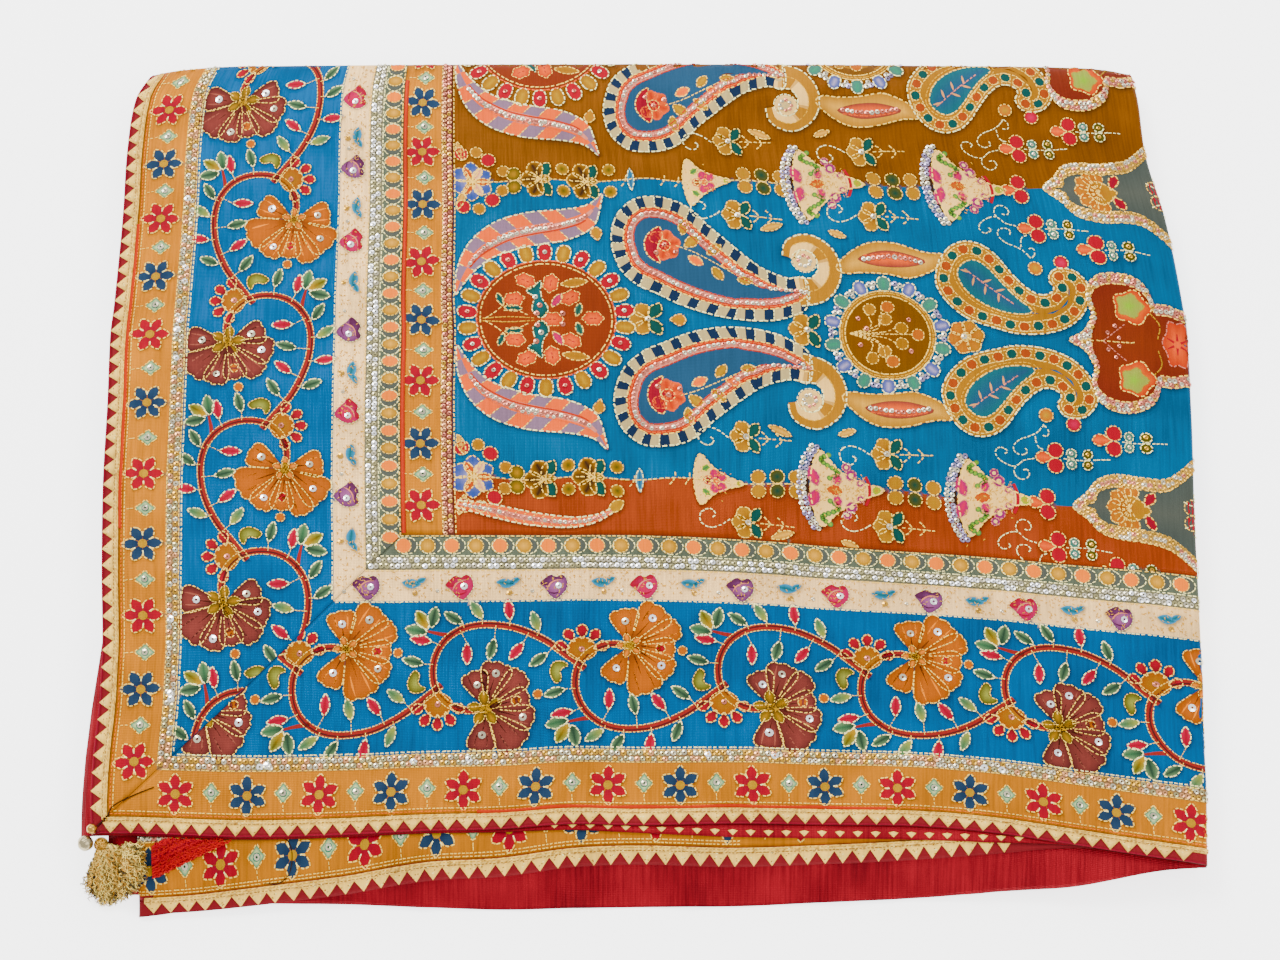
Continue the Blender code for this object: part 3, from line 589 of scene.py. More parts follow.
def makeInnerAndField():
    front, left = pack["border"] + sheetSetup["joinGap"], pack["endBorder"] + sheetSetup["joinGap"]
    u, v = np.meshgrid(stops(197, 224, 232), np.concatenate([stops(front, pack["depth"]), foldBack]))
    sheets["top_inner_border"] = clothShell("inner_border_cloth", "top", u * mm, v * mm,
                                            innerTint(cellMiddles(u)), colour["satin"], [silk, facing])
    rows = np.concatenate([stops(front, *panelLines, pack["depth"]), foldBack])
    u, v = np.meshgrid(np.concatenate([stops(left, pack["length"]), foldRight]), rows)
    tints = panelTint(cellMiddles(v))
    for at in panelLines:    # rows close to a panel line bend with it
        weight = np.clip(1 - np.abs(v - at) / 14, 0, 1)
        v = v + (panelLine(u, at) - at) * weight
    sheets["top_field"] = clothShell("field_cloth", "top", u * mm, v * mm, tints, colour["satin"],
                                     [silk, facing])


makeInnerAndField()
print("top layer laid")


def frontEdge(layer, u):
    return -readLine(acrossPack, layer, u * mm) / mm


def makeLowerSheet(name, layer, depths, uLines, upTint, downTint, materials, leftEdge, toBack=True):
    # rows follow the layer's own front edge, then even out towards the back fold
    depths = np.asarray(depths, float)
    u = np.broadcast_to(uLines, (len(depths), len(uLines)))
    v = frontEdge(layer, u) + depths[:, None]
    if toBack:
        far = np.array([0.04, 0.1, 0.2, 0.35, 0.5, 0.65, 0.8, 0.88, 0.94, 0.98, 1.0])
        last = v[-1:]
        v = np.concatenate([v, last + (pack["depth"] - last) * far[:, None]]
                           + [np.full((1, len(uLines)), line) for line in foldBack])
        u = np.broadcast_to(uLines, v.shape)
    u = leftEdge(u, v)
    tints = upTint(cellMiddles(u), cellMiddles(v))
    return clothShell(name, layer, u * mm, v * mm, tints, downTint, materials)


def thirdTint(u, v):
    depth = v - frontEdge("third", u)
    return np.where((depth < 11)[..., None], colour["binding"], bandTint(depth))


def flatTint(name):
    return lambda u, v: np.broadcast_to(colour[name], u.shape + (3,))


def secondLeft(u, v):
    edge = -readLine(alongPack, "second", v * mm) / mm
    return np.where(u < 11, edge + (11 - edge) * u / 11, u)


def thirdLeft(u, v):
    # columns below zero carry the cloth round its left fold
    edge = readLine(alongPack, "third", v * mm) / mm
    turn = 1.5 * pack["pitch"] * math.pi / 2
    return np.where(u < 0, edge + turn * u, np.where(u < 50, edge + (50 - edge) * u / 50, u))


def fourthLeft(u, v):
    edge = readLine(alongPack, "third", v * mm) / mm + 1
    return np.where(u < 50, edge + (50 - edge) * u / 50, u)


coarse = stops(90, 690, step=14)
secondColumns = [stops(0, 11, step=2.5), stops(14, 90, step=5), coarse[1:], stops(693, 716, step=4)]
sheets["second_layer"] = makeLowerSheet(
    "second_layer_cloth", "second", [0, 1.5, 3, 5, 7, 9, 12, 16, 22, 30], np.concatenate(secondColumns),
    flatTint("satin"), colour["blue"], [facing, silk], secondLeft)
fine = stops(50, 640, step=5)
thirdColumns = [np.linspace(-1, 0, 5), stops(2, 50, step=4), fine[1:], stops(648, 716, step=8)]
thirdColumns = np.concatenate(thirdColumns)
sheets["third_layer"] = makeLowerSheet(
    "third_layer_cloth", "third", stops(11.1, 41, 50, 62, step=2.5), thirdColumns, thirdTint,
    colour["satin"], [silk, facing], thirdLeft)
sheets["third_edging"] = makeLowerSheet(
    "third_binding", "third", stops(0, 11, step=2.2), thirdColumns, flatTint("binding"), colour["satin"],
    [finishes["binding"], facing], thirdLeft, toBack=False)
fourthColumns = [stops(0, 50, step=4), stops(53, 640, step=3.2), stops(646, 716, step=6), foldRight]
sheets["fourth_layer"] = makeLowerSheet(
    "fourth_layer_cloth", "fourth", stops(0, 66, step=2.5), np.concatenate(fourthColumns),
    flatTint("satin"), colour["blue"], [facing, silk], fourthLeft)
print("lower layers laid")


# the twelve layers under them: a closed form with folded sides
hiddenSetup = {
    "leftInset": 1.2, "fine": 4, "lowest": 3.0, "under": 0.1,
    # pairs of levels between which the layers turn round each other
    "right": ((0, 4), (4, 8), (8, 12)), "left": ((2, 6), (6, 10), (10, 14)),
    "back": ((0, 2), (2, 4), (4, 6), (6, 8), (8, 10), (10, 12)),
    # how far each level's front edge stands out, mm
    "front": (5.5, 8.0, 6.0, 7.5, 4.5, 6.0, 3.5, 4.5, 2.5, 3.2, 1.2, 1.6, 0.0),
}


def bulge(level, bulges):
    for low, high in bulges:
        if low <= level <= high:
            half = (high - low) / 2
            share = (level - low - half) / half
            return half * pitch * math.sqrt(max(0.0, 1 - share * share))
    return 0.0


def sideTint(v):
    # the side border runs along every layer, and the field's panels behind it
    bands = np.where((v < 11)[..., None], colour["binding"], bandTint(v))
    return np.where((v < pack["border"])[..., None], bands, panelTint(v))


def makeHidden():
    uLines = stops(8, pack["length"], step=9)
    edge = frontEdge("fourth", uLines) + 2
    for _ in range(90):
        edge = np.where(baseHeight(uLines * mm, edge * mm) < hiddenSetup["lowest"] * mm, edge + 0.5, edge)
    near = edge[None] + (bandStops[0] - edge[None]) * stops(0, 1, step=1 / 7)[:-1, None]
    rest = stops(*bandStops, *panelLines, pack["depth"], step=9)    # rows along the bands
    v = np.concatenate([near, np.broadcast_to(rest[:, None], (len(rest), len(uLines)))])
    u = np.broadcast_to(uLines, v.shape).copy()
    first = readLine(alongPack, "third", v[:, 0] * mm) / mm - hiddenSetup["leftInset"]
    u = np.concatenate([first[:, None], u], axis=1)
    v = np.concatenate([v[:, :1], v], axis=1)
    rows, columns = u.shape
    top, _, _, _ = baseFrame(u * mm, v * mm)
    top[..., 2] -= hiddenSetup["under"] * mm
    upper, rim = gridFaces(rows, columns)
    flat = top.reshape(-1, 3)
    laid = np.stack([u.ravel(), v.ravel()], -1)
    rowOf, columnOf = rim // columns, rim % columns
    high = flat[rim]
    share = high[:, 2] / (pack["hidden"] * pitch)
    run = np.arange(len(rim)) * 0.21
    points, rings, quads = [flat], [rim], [upper]
    tints = [np.broadcast_to(colour["satin"], (len(upper), 3))]
    fineSteps = pack["hidden"] * hiddenSetup["fine"]
    count = len(flat)
    backSide = rowOf == rows - 1
    wallTint = np.where(backSide[:, None], colour["brown"], sideTint(laid[rim, 1]))
    for k in range(fineSteps - 1, -1, -1):
        level = k / hiddenSetup["fine"]
        wobble = 1 + 0.10 * np.sin(run * 1.3 + level * 0.9) + 0.06 * np.sin(run * 3.1 + level * 2.1)
        x = hiddenSetup["leftInset"] * mm - bulge(level, hiddenSetup["left"]) * wobble
        x = np.where(columnOf == 0, x, 0)
        x = x + np.where(columnOf == columns - 1, bulge(level, hiddenSetup["right"]) * wobble, 0)
        y = np.where(backSide, bulge(level, hiddenSetup["back"]) * wobble, 0)
        y = y + np.where(rowOf == 0, np.interp(level, range(13), hiddenSetup["front"]) * mm, 0)
        ring = high.copy()
        ring[:, 0] += x * share
        ring[:, 1] += y * share
        ring[:, 2] = high[:, 2] * level / pack["hidden"]
        points.append(ring)
        here = np.arange(count, count + len(rim))
        count += len(rim)
        last = rings[-1]
        rings.append(here)
        quads.append(np.stack([last, here, np.roll(here, -1), np.roll(last, -1)], -1))
        tints.append(wallTint)
    low = flat.copy()
    low[:, 2] = 0
    low[rim] = points[-1]
    points.append(low)
    weld = {int(a): int(b) for a, b in zip(rim + count, rings[-1])}
    quads.append(np.vectorize(lambda k: weld.get(int(k), int(k)))(upper[:, ::-1] + count))
    tints.append(sideTint(laid[upper, 1].mean(axis=1)))
    points, quads, tints = np.concatenate(points), np.concatenate(quads), np.concatenate(tints)
    around = np.tile(laid[rim] * mm, (len(rings) - 1, 1))
    depthDown = np.repeat(np.arange(1, len(rings)), len(rim))[:, None] * np.array([[0.4 * mm, 0.4 * mm]])
    place = np.concatenate([laid * mm, around + depthDown, laid * mm])
    cells, walls = len(upper), len(rim) * (len(rings) - 1)
    bake = np.empty((len(quads) * 4, 2))
    area = np.clip((laid - (0, -60)) / (730, 620), 0, 1)
    bake[:cells * 4] = area[upper.ravel()] * (0.1, 0.45) + (0.89, 0.02)
    column = (np.arange(walls) % len(rim)) / len(rim)
    line = (np.arange(walls) // len(rim)) / (len(rings) - 1)
    dx, dy = 1 / len(rim), 1 / (len(rings) - 1)
    corners = [(column, line), (column, line + dy), (column + dx, line + dy), (column + dx, line)]
    wallUv = [np.stack([0.01 + 0.86 * a, 0.5 + 0.49 * b], -1) for a, b in corners]
    bake[cells * 4:(cells + walls) * 4] = np.stack(wallUv, 1).reshape(-1, 2)
    bake[(cells + walls) * 4:] = area[upper[:, ::-1].ravel()] * (0.86, 0.46) + (0.01, 0.02)
    return meshObject("hidden_folds", points, quads, [], silk, None, place,
                      cornerTints=np.repeat(tints, 4, axis=0), bakeUv=bake)


sheets["hidden_layers"] = makeHidden()
print("hidden folds made")


# drawing kit: shapes, stitches and sequins laid on a layer
class Batch:
    def __init__(self, name, layer, finish, slot, lift):
        self.name, self.layer, self.finish, self.slot, self.lift = name, layer, finish, slot, lift
        self.places, self.lifts, self.tints, self.quads, self.tris = [], [], [], [], []
        self.count = 0

    def add(self, u, v, lift, tint, quads=None, tris=None):
        self.places.append(np.stack([u, v], -1))
        self.lifts.append(np.broadcast_to(lift, u.shape))
        self.tints.append(np.broadcast_to(tint, u.shape + (3,)))
        if quads is not None and len(quads):
            self.quads.append(np.asarray(quads) + self.count)
        if tris is not None and len(tris):
            self.tris.append(np.asarray(tris) + self.count)
        self.count += len(u)

    def finishPiece(self):
        place = np.concatenate(self.places)
        lift = np.concatenate(self.lifts) + self.lift * mm
        middle, normal = clothFrame(self.layer, place[:, 0], place[:, 1])
        points = middle + normal * (sheetSetup["faceUp"] * mm + lift)[:, None]
        quads = np.concatenate(self.quads) if self.quads else []
        tris = np.concatenate(self.tris) if self.tris else []
        piece = meshObject(self.name, points, quads, tris, self.finish, np.concatenate(self.tints), place)
        print(self.name, len(quads) * 2 + len(tris), "triangles")
        return piece


def chartOf(place, clip):
    # place turns drawing millimetres into cloth metres, clip keeps the drawing on its strip
    return {"place": place, "clip": clip}


def clipEnd(u, v):
    return u, np.clip(v, u + 0.3 * mm, backLimit)


def clipSide(u, v):
    return np.clip(u, v + 0.3 * mm, rightLimit), v


def clipInner(u, v):
    return u, np.clip(v, border + 0.4 * mm, backLimit)


def clipField(u, v):
    return np.clip(u, endBorder + 0.3 * mm, rightLimit), np.clip(v, border + 0.4 * mm, backLimit)


def clipThird(u, v):
    return u, np.clip(v, frontEdge("third", u / mm) * mm + 0.2 * mm, 0.004)


def clipNone(u, v):
    return u, v


# a runs along each strip, b in from its edge; on the end strip a runs to the front, from endZero
endZero = 523
endChart = chartOf(lambda a, b: (b * mm, (endZero - a) * mm), clipEnd)
sideChart = chartOf(lambda a, b: (a * mm, b * mm), clipSide)
innerChart = chartOf(lambda a, b: (b * mm, a * mm), clipInner)
thirdChart = chartOf(lambda a, b: (a * mm, (frontEdge("third", a) + b) * mm), clipThird)


def fieldChart(centre, side):
    # a along from the field's left side, b away from the row's middle line
    def place(a, b):
        bend = 4 * smooth((a - 150) / 100)
        return (232 + a) * mm, (centre - bend * (1 if centre > 300 else 0) + side * b) * mm
    return chartOf(place, clipField)


def moved(chart, along, across, turn=0.0, size=1.0, flip=1):
    c, s = math.cos(math.radians(turn)), math.sin(math.radians(turn))

    def place(a, b):
        b = b * flip
        return chart["place"](along + size * (a * c - b * s), across + size * (a * s + b * c))
    return chartOf(place, chart["clip"])


def smoothLine(points, closed=False, step=2.5):
    # even steps along a soft curve through given points
    points = np.asarray(points, float)
    if closed:
        ring = np.concatenate([points[-1:], points, points[:2]])
    else:
        ring = np.concatenate([2 * points[:1] - points[1:2], points, 2 * points[-1:] - points[-2:-1]])
    t = np.linspace(0, 1, 9)[:-1][:, None]
    parts = []
    for k in range(1, len(ring) - 2):
        a, b, c, d = ring[k - 1:k + 3]
        parts.append(0.5 * ((2 * b) + (c - a) * t + (2 * a - 5 * b + 4 * c - d) * t ** 2
                            + (3 * b - a - 3 * c + d) * t ** 3))
    line = np.concatenate(parts + [ring[-2][None]])
    return evenLine(line, step, closed)


def evenLine(line, step, closed=False):
    sizes = np.concatenate([[0], np.cumsum(np.linalg.norm(np.diff(line, axis=0), axis=1))])
    count = max(3, int(round(sizes[-1] / step)))
    at = np.linspace(0, sizes[-1], count + 1)
    if closed:
        at = at[:-1]
    return np.stack([np.interp(at, sizes, line[:, k]) for k in (0, 1)], -1)


def leafOutline(length, width, belly=0.5, count=14, start=0.0):
    # pointed at both ends, widest at the belly
    t = np.linspace(0, 1, count // 2 + 1)
    y = width / 2 * np.sin(math.pi * t ** (math.log(0.5) / math.log(belly))) ** 0.85
    x = start + length * t
    return np.concatenate([np.stack([x, y], -1), np.stack([x, -y], -1)[-2:0:-1]])


def roundOutline(rx, ry=None, count=14, lobes=0, depth=0.0):
    angle = np.linspace(0, 2 * math.pi, count, endpoint=False)
    size = 1 + depth * np.cos(lobes * angle)
    return np.stack([rx * size * np.cos(angle), (ry or rx) * size * np.sin(angle)], -1)


def nearestOn(spine, points):
    spine = np.atleast_2d(np.asarray(spine, float))
    if len(spine) > 1:
        spine = evenLine(spine, 1.5)
    gaps = np.linalg.norm(points[:, None] - spine[None], axis=2)
    return spine[np.argmin(gaps, axis=1)]


def laid(chart, points):
    u, v = chart["place"](points[..., 0], points[..., 1])
    heldU, heldV = chart["clip"](u, v)
    inside = (np.abs(heldU - u) < 1e-7) & (np.abs(heldV - v) < 1e-7)
    return heldU, heldV, inside


def turnedUp(u, v, quads):
    # faces wind so that they look up from the cloth
    a, b, c = quads[:, 0], quads[:, 1], quads[:, 2]
    area = ((u[b] - u[a]) * (v[c] - v[a]) - (u[c] - u[a]) * (v[b] - v[a])).sum()
    return quads if area >= 0 else quads[:, ::-1]


def sideways(line):
    # directions along and across a line
    run = unit(np.gradient(line, axis=0))
    return run, np.stack([-run[:, 1], run[:, 0]], -1)


def ringFaces(n, closed=True):
    # faces between two rows of n points
    k = np.arange(n if closed else n - 1)
    return np.stack([k, (k + 1) % n, (k + 1) % n + n, k + n], -1)


def tubeFaces(rows, n, closed=True):
    # faces between each two of several rows of n points
    return (ringFaces(n, closed)[None] + n * np.arange(rows - 1)[:, None, None]).reshape(-1, 4)


def fillRing(ink, chart, outer, inner, tint, closed=True):
    # band between two lines with the same number of points; tint may be one for each cell
    u, v, inside = laid(chart, np.concatenate([outer, inner]))
    quads = ringFaces(len(outer), closed)
    tint = np.asarray(tint)
    keep = inside[quads].any(axis=1)
    if not keep.any():
        return
    if tint.ndim == 2:       # cells of their own colour have corners of their own
        flat = quads[keep].ravel()
        u, v, tint = u[flat], v[flat], np.repeat(tint[:len(quads)][keep], 4, axis=0)
        quads = np.arange(len(flat)).reshape(-1, 4)
    else:
        quads = quads[keep]
    ink.add(u, v, 0.0, tint, quads=turnedUp(u, v, quads))


def fillShape(ink, chart, outline, edge, core=None, spine=None, soft=1.0, root=None):
    # filled outline, its colour running from the edge to the spine or the middle
    # root: a tone near the origin and its reach
    outline = np.asarray(outline, float)
    if spine is None:
        target = np.broadcast_to(outline.mean(axis=0), outline.shape)
    else:
        target = nearestOn(spine, outline)
    reach = np.linalg.norm(outline - target, axis=1).max()
    rings = max(1, int(math.ceil(reach / 6.0)))
    if core is not None:
        rings = max(rings, 2)
    edge = tone(edge)
    core = edge if core is None else tone(core)
    n = len(outline)
    shares = np.linspace(0, 1, rings + 1)
    grid = outline[None] + (target - outline)[None] * shares[:, None, None]
    tints = np.repeat(edge[None] + (core - edge)[None] * (shares ** soft)[:, None], n, axis=0)
    if root is not None:
        weight = np.exp(-(np.linalg.norm(grid.reshape(-1, 2), axis=1) / root[1]) ** 2)[:, None]
        tints = tints + (colour[root[0]] - tints) * weight
    u, v, inside = laid(chart, grid.reshape(-1, 2))
    k = np.arange(n)
    quads = tubeFaces(rings if spine is None else rings + 1, n)
    tris = np.zeros((0, 3), int)
    if spine is None:
        last = (rings - 1) * n
        tris = np.stack([last + k, last + (k + 1) % n, np.full(n, rings * n)], -1)
    keepQuads, keepTris = inside[quads].any(axis=1), inside[tris].any(axis=1)
    if not keepQuads.any() and not keepTris.any():
        return
    sample = quads if len(quads) else tris
    forward = turnedUp(u, v, sample) is sample
    quads, tris = quads[keepQuads], tris[keepTris]
    if not forward:
        quads, tris = quads[:, ::-1], tris[:, ::-1]
    used = (rings + 1) * n if spine is not None else rings * n + 1
    ink.add(u[:used], v[:used], 0.0, tints[:used], quads=quads, tris=tris)


def inset(outline, spine, width):
    target = nearestOn(spine, outline)
    gap = np.linalg.norm(target - outline, axis=1)
    share = np.minimum(width / np.maximum(gap, 1e-6), 0.97)
    return outline + (target - outline) * share[:, None]


def ribbon(ink, chart, line, width, tint, step=3.0):
    line = smoothLine(line, step=step)
    across = sideways(line)[1]
    width = np.asarray(width, float)
    if width.ndim:
        width = np.interp(np.linspace(0, 1, len(line)), np.linspace(0, 1, len(width)), width)[:, None]
    fillRing(ink, chart, line + across * width / 2, line - across * width / 2, tone(tint), closed=False)
    return line, across


stitchSetup = {"length": 2.9, "gap": 1.25, "width": 0.98, "height": 0.46, "bevel": 0.22}


def stitch(ink, chart, line, tint="stitchGold", closed=False, scale=1.0, even=False, gap=None):
    # running stitch of wound thread: raised dashes along a line
    line = np.asarray(line, float)
    if not even:
        line = smoothLine(line, closed=closed, step=1.5)
    if closed:
        line = np.concatenate([line, line[:1]])
    u, v = chart["place"](line[:, 0], line[:, 1])
    sizes = np.concatenate([[0], np.cumsum(np.hypot(np.diff(u), np.diff(v)))])
    long, space = stitchSetup["length"] * scale * mm, (gap or stitchSetup["gap"]) * scale * mm
    count = max(1, int(round(sizes[-1] / (long + space))))
    each = sizes[-1] / count
    at = (np.arange(count) + 0.5) * each + dice.normal(0, 0.08 * each, count)
    half = each * long / (long + space) / 2 * dice.uniform(0.82, 1.12, count)
    startU, endU = (np.interp(at + sign * half, sizes, u) for sign in (-1, 1))
    startV, endV = (np.interp(at + sign * half, sizes, v) for sign in (-1, 1))
    dashes(ink, chart, startU, startV, endU, endV, tint, scale)


def dashes(ink, chart, startU, startV, endU, endV, tint, scale=1.0):
    midU, midV = (startU + endU) / 2, (startV + endV) / 2
    heldU, heldV = chart["clip"](midU, midV)
    keep = (np.abs(heldU - midU) < 1e-7) & (np.abs(heldV - midV) < 1e-7)
    keep &= np.hypot(endU - startU, endV - startV) > 0.3 * mm
    startU, startV, endU, endV = (x[keep] for x in (startU, startV, endU, endV))
    n = len(startU)
    if not n:
        return
    run = unit(np.stack([endU - startU, endV - startV], -1))
    side = np.stack([-run[:, 1], run[:, 0]], -1) * stitchSetup["width"] * scale * mm / 2
    start, end = np.stack([startU, startV], -1), np.stack([endU, endV], -1)
    skew = side * dice.normal(0, 0.25, n)[:, None]
    start, end = start + skew, end - skew
    bevel = (end - start) * stitchSetup["bevel"]
    corners = np.stack([start + side, start - side, end - side, end + side, start + bevel, end - bevel], 1)
    corners = corners.reshape(-1, 2)
    lifts = np.tile(np.array([0, 0, 0, 0, 1, 1]) * stitchSetup["height"] * scale * mm, n)
    base = np.arange(n)[:, None] * 6
    quads = np.concatenate([base + [1, 2, 5, 4], base + [3, 0, 4, 5]])
    tris = np.concatenate([base + [0, 1, 4], base + [2, 3, 5]])
    tints = np.repeat(tone(tint)[None] * dice.uniform(0.84, 1.12, (n, 1)), 6, axis=0)
    ink.add(corners[:, 0], corners[:, 1], lifts, tints, quads=quads, tris=tris)


def edgeStitch(ink, chart, line, tint="stitchGold", scale=1.0, gap=None):
    # stitches all the way round an outline
    stitch(ink, chart, line, tint, closed=True, even=True, scale=scale, gap=gap)


def flecks(ink, chart, a, b, turn):
    # short loose dashes of gold thread
    ends = [chart["place"](a + sign * 0.8 * np.cos(turn), b + sign * 0.8 * np.sin(turn)) for sign in (-1, 1)]
    dashes(ink, chart, *ends[0], *ends[1], "laceGold", 0.5)


sequinSetup = {"sides": 8, "rim": (1.0, 0.08), "hole": (0.34, 0.42)}     # share of the radius, height in mm


def sequinsAt(ink, chart, centres, radius=1.6, tint="silver", wander=0.15):
    # cupped foil rings with a hole, each tipped a little
    centres = np.atleast_2d(np.asarray(centres, float))
    centres = centres + dice.normal(0, wander, centres.shape)
    u, v, inside = laid(chart, centres)
    u, v = u[inside], v[inside]
    n = len(u)
    if not n:
        return
    tintNames = [tint] if isinstance(tint, str) else list(tint)
    choice = np.stack([colour[name] for name in tintNames])[dice.integers(0, len(tintNames), n)]
    sides = sequinSetup["sides"]
    angle = np.linspace(0, 2 * math.pi, sides, endpoint=False)[None] + dice.uniform(0, 1, (n, 1))
    tip, lean = dice.uniform(0, 2 * math.pi, (n, 1)), dice.uniform(0.02, 0.16, (n, 1))
    rings, lifts = [], []
    for share, height in (sequinSetup["rim"], sequinSetup["hole"]):
        r = radius * share * dice.uniform(0.92, 1.08, (n, 1)) * mm
        rings.append(np.stack([u[:, None] + r * np.cos(angle), v[:, None] + r * np.sin(angle)], -1))
        lifts.append(height * mm + radius * mm * lean * (1 + share * np.cos(angle - tip)))
    points = np.concatenate(rings, axis=1).reshape(-1, 2)
    lifts = np.concatenate(lifts, axis=1).ravel()
    quads = (np.arange(n)[:, None, None] * 2 * sides + ringFaces(sides)[None]).reshape(-1, 4)
    tints = np.repeat(choice * dice.uniform(0.8, 1.15, (n, 1)), 2 * sides, axis=0)
    ink.add(points[:, 0], points[:, 1], lifts, tints, quads=quads)


def sequinRow(ink, chart, line, radius, tint, gap, rows=1, spread=2.6, closed=False, even=False):
    if even:
        line = evenLine(np.asarray(line, float), gap, closed)
    else:
        line = smoothLine(line, closed=closed, step=gap)
    run, across = sideways(line)
    for row in range(rows):
        shift = (row - (rows - 1) / 2) * spread
        sequinsAt(ink, chart, line + across * shift + run * (gap / 2 * (row % 2)), radius, tint)


def cordLine(ink, chart, line, width, height, tint):
    # raised round cord or piping
    line = smoothLine(line, step=3.0)
    across = sideways(line)[1]
    n = len(line)
    shape = ((-0.5, 0.0), (-0.35, 0.7), (0.0, 1.0), (0.35, 0.7), (0.5, 0.0))
    points = np.concatenate([line + across * width * a for a, _ in shape])
    u, v, inside = laid(chart, points)
    quads = tubeFaces(len(shape), n, closed=False)
    quads = quads[inside[quads].all(axis=1)]
    lifts = np.repeat([b * height * mm for _, b in shape], n)
    if len(quads):
        ink.add(u, v, lifts, colour[tint], quads=turnedUp(u, v, quads))


# painted drop shadows under the motifs
shade = Batch("painted_motif_shadows", "top", silk, "printed_silk", 0.08)
bloom = Batch("print_motifs", "top", motif, "printed_silk", 0.22)
detail = Batch("print_details", "top", motif, "printed_silk", 0.30)
spot = Batch("print_hearts", "top", motif, "printed_silk", 0.38)
borderThread = Batch("border_stitches", "top", finishes["zari"], "gold_thread", 0.34)
fieldThread = Batch("field_stitches", "top", finishes["zari"], "gold_thread", 0.34)
foil = Batch("sequins", "top", finishes["sequin"], "metallic_lace", 0.46)


# motifs shared by the bands
# painted drop shadows: reach, darkness and shift away from the light
shadeSetup = {"reach": 2.3, "under": 0.7, "dark": 0.34, "shift": (0.35, -0.7)}


def groundTint(u, v):
    # colour of the cloth of the top layer at a place
    u, v = u / mm, v / mm
    panels = panelTint(v, *(panelLine(u, at) for at in panelLines))
    within = np.where((u < pack["endBorder"])[:, None], innerTint(u), panels)
    nearest = np.minimum(u, v)
    return np.where((nearest < pack["border"])[:, None], bandTint(nearest), within)


def softShade(chart, outline, reach=1.0):
    # painted drop shadow round a motif, from dark at its edge to the plain ground, shifted forward away from
    # the light
    outline = np.asarray(outline, float)
    after = np.roll(outline, -1, axis=0)
    run = after - np.roll(outline, 1, axis=0)
    away = unit(np.stack([run[:, 1], -run[:, 0]], -1))
    turned = np.sum(outline[:, 0] * after[:, 1] - after[:, 0] * outline[:, 1])
    away = away * (1 if turned > 0 else -1)
    rows = [outline + away * shadeSetup["reach"] * reach, outline - away * shadeSetup["under"]]
    u, v, inside = laid(chart, np.concatenate(rows))
    u, v = u + shadeSetup["shift"][0] * mm, v + shadeSetup["shift"][1] * mm
    n = len(outline)
    tints = groundTint(u, v)
    tints[n:] *= shadeSetup["dark"]
    quads = ringFaces(n)
    quads = quads[inside[quads].all(axis=1)]
    if len(quads):
        shade.add(u, v, float(dice.uniform(0, 0.05)) * mm, tints, quads=turnedUp(u, v, quads))


def dotAt(ink, chart, a, b, radius, edge, core=None, thread=None, tint="stitchGold", ry=None):
    outline = roundOutline(radius, ry, 12)
    place = moved(chart, a, b)
    fillShape(ink, place, outline, edge, core)
    if ink is bloom:
        softShade(place, outline)
    if thread is not None:
        stitch(thread, place, outline * 1.06, tint, closed=True, scale=0.72)


def leafAt(ink, chart, a, b, turn, length, width, edge, core=None, thread=None, tint="stitchGold", belly=0.5,
           root=None):
    place = moved(chart, a, b, turn)
    outline = leafOutline(length, width, belly)
    fillShape(ink, place, outline, edge, core, spine=((length * 0.2, 0), (length * 0.8, 0)),
              root=root and (root, length * 0.42))
    if ink is bloom:
        softShade(place, outline)
    if thread is not None:
        edgeStitch(thread, place, outline, tint, scale=0.8)


topInks = {"bloom": bloom, "detail": detail, "thread": borderThread, "foil": foil}
rosetteSetup = {"petals": 6, "start": 1.4, "tip": 13.2, "petal": 6.9, "heart": 3.0, "bare": 4.2}
diamondSetup = {"length": 12.5, "width": 11.0, "pupil": 2.6}


def rosette(inks, chart, a, b, petal):
    # six pointed petals, each with its own line of stitches
    place = moved(chart, a, b, 90 + float(dice.normal(0, 3)))
    count, start = rosetteSetup["petals"], rosetteSetup["start"]
    length = rosetteSetup["tip"] - start
    root = ("crimson" if petal == "red" else "checkNavy", 6.0)
    for k in range(count):
        wing = moved(place, 0, 0, 360 / count * k + float(dice.normal(0, 2)))
        outline = leafOutline(length, rosetteSetup["petal"], 0.52, start=start)
        fillShape(inks["bloom"], wing, outline, petal, spine=((5, 0), (10, 0)), root=root)
        if inks is topInks:
            softShade(wing, outline, 0.8)
        rim = outline * (1.02, 1.1)
        rim = rim[rim[:, 0] > rosetteSetup["bare"]]
        stitch(inks["thread"], wing, rim, even=True, scale=0.84)
        between = moved(wing, 0, 0, 180 / count)
        stitch(inks["thread"], between, ((4.6, 0), (8.2, 0)), "stitchPale", scale=0.8)
    dotAt(inks["detail"], place, 0, 0, rosetteSetup["heart"], "yellow", "yellow")
    stitch(inks["thread"], place, roundOutline(2.2, 2.2, 10), "yellow", closed=True, scale=0.55)


def eyeDiamond(inks, chart, a, b):
    # green diamond with a pale eye, a dark pupil and a sequin
    half, wide = diamondSetup["length"] / 2, diamondSetup["width"] / 2
    corners = ((half, 0), (half * 0.42, wide * 0.5), (0, wide), (-half * 0.42, wide * 0.5), (-half, 0),
               (-half * 0.42, -wide * 0.5), (0, -wide), (half * 0.42, -wide * 0.5))
    outline = smoothLine(corners, closed=True, step=2.0)
    place = moved(chart, a, b, 90)
    fillShape(inks["bloom"], place, outline, "green", "stitchPale")
    edgeStitch(inks["thread"], place, outline * 1.12, scale=0.74)
    dotAt(inks["detail"], place, 0, 0, diamondSetup["pupil"], "green", "leafGreen")
    sequinsAt(inks["foil"], place, (0, 0), 2.2, "silver")


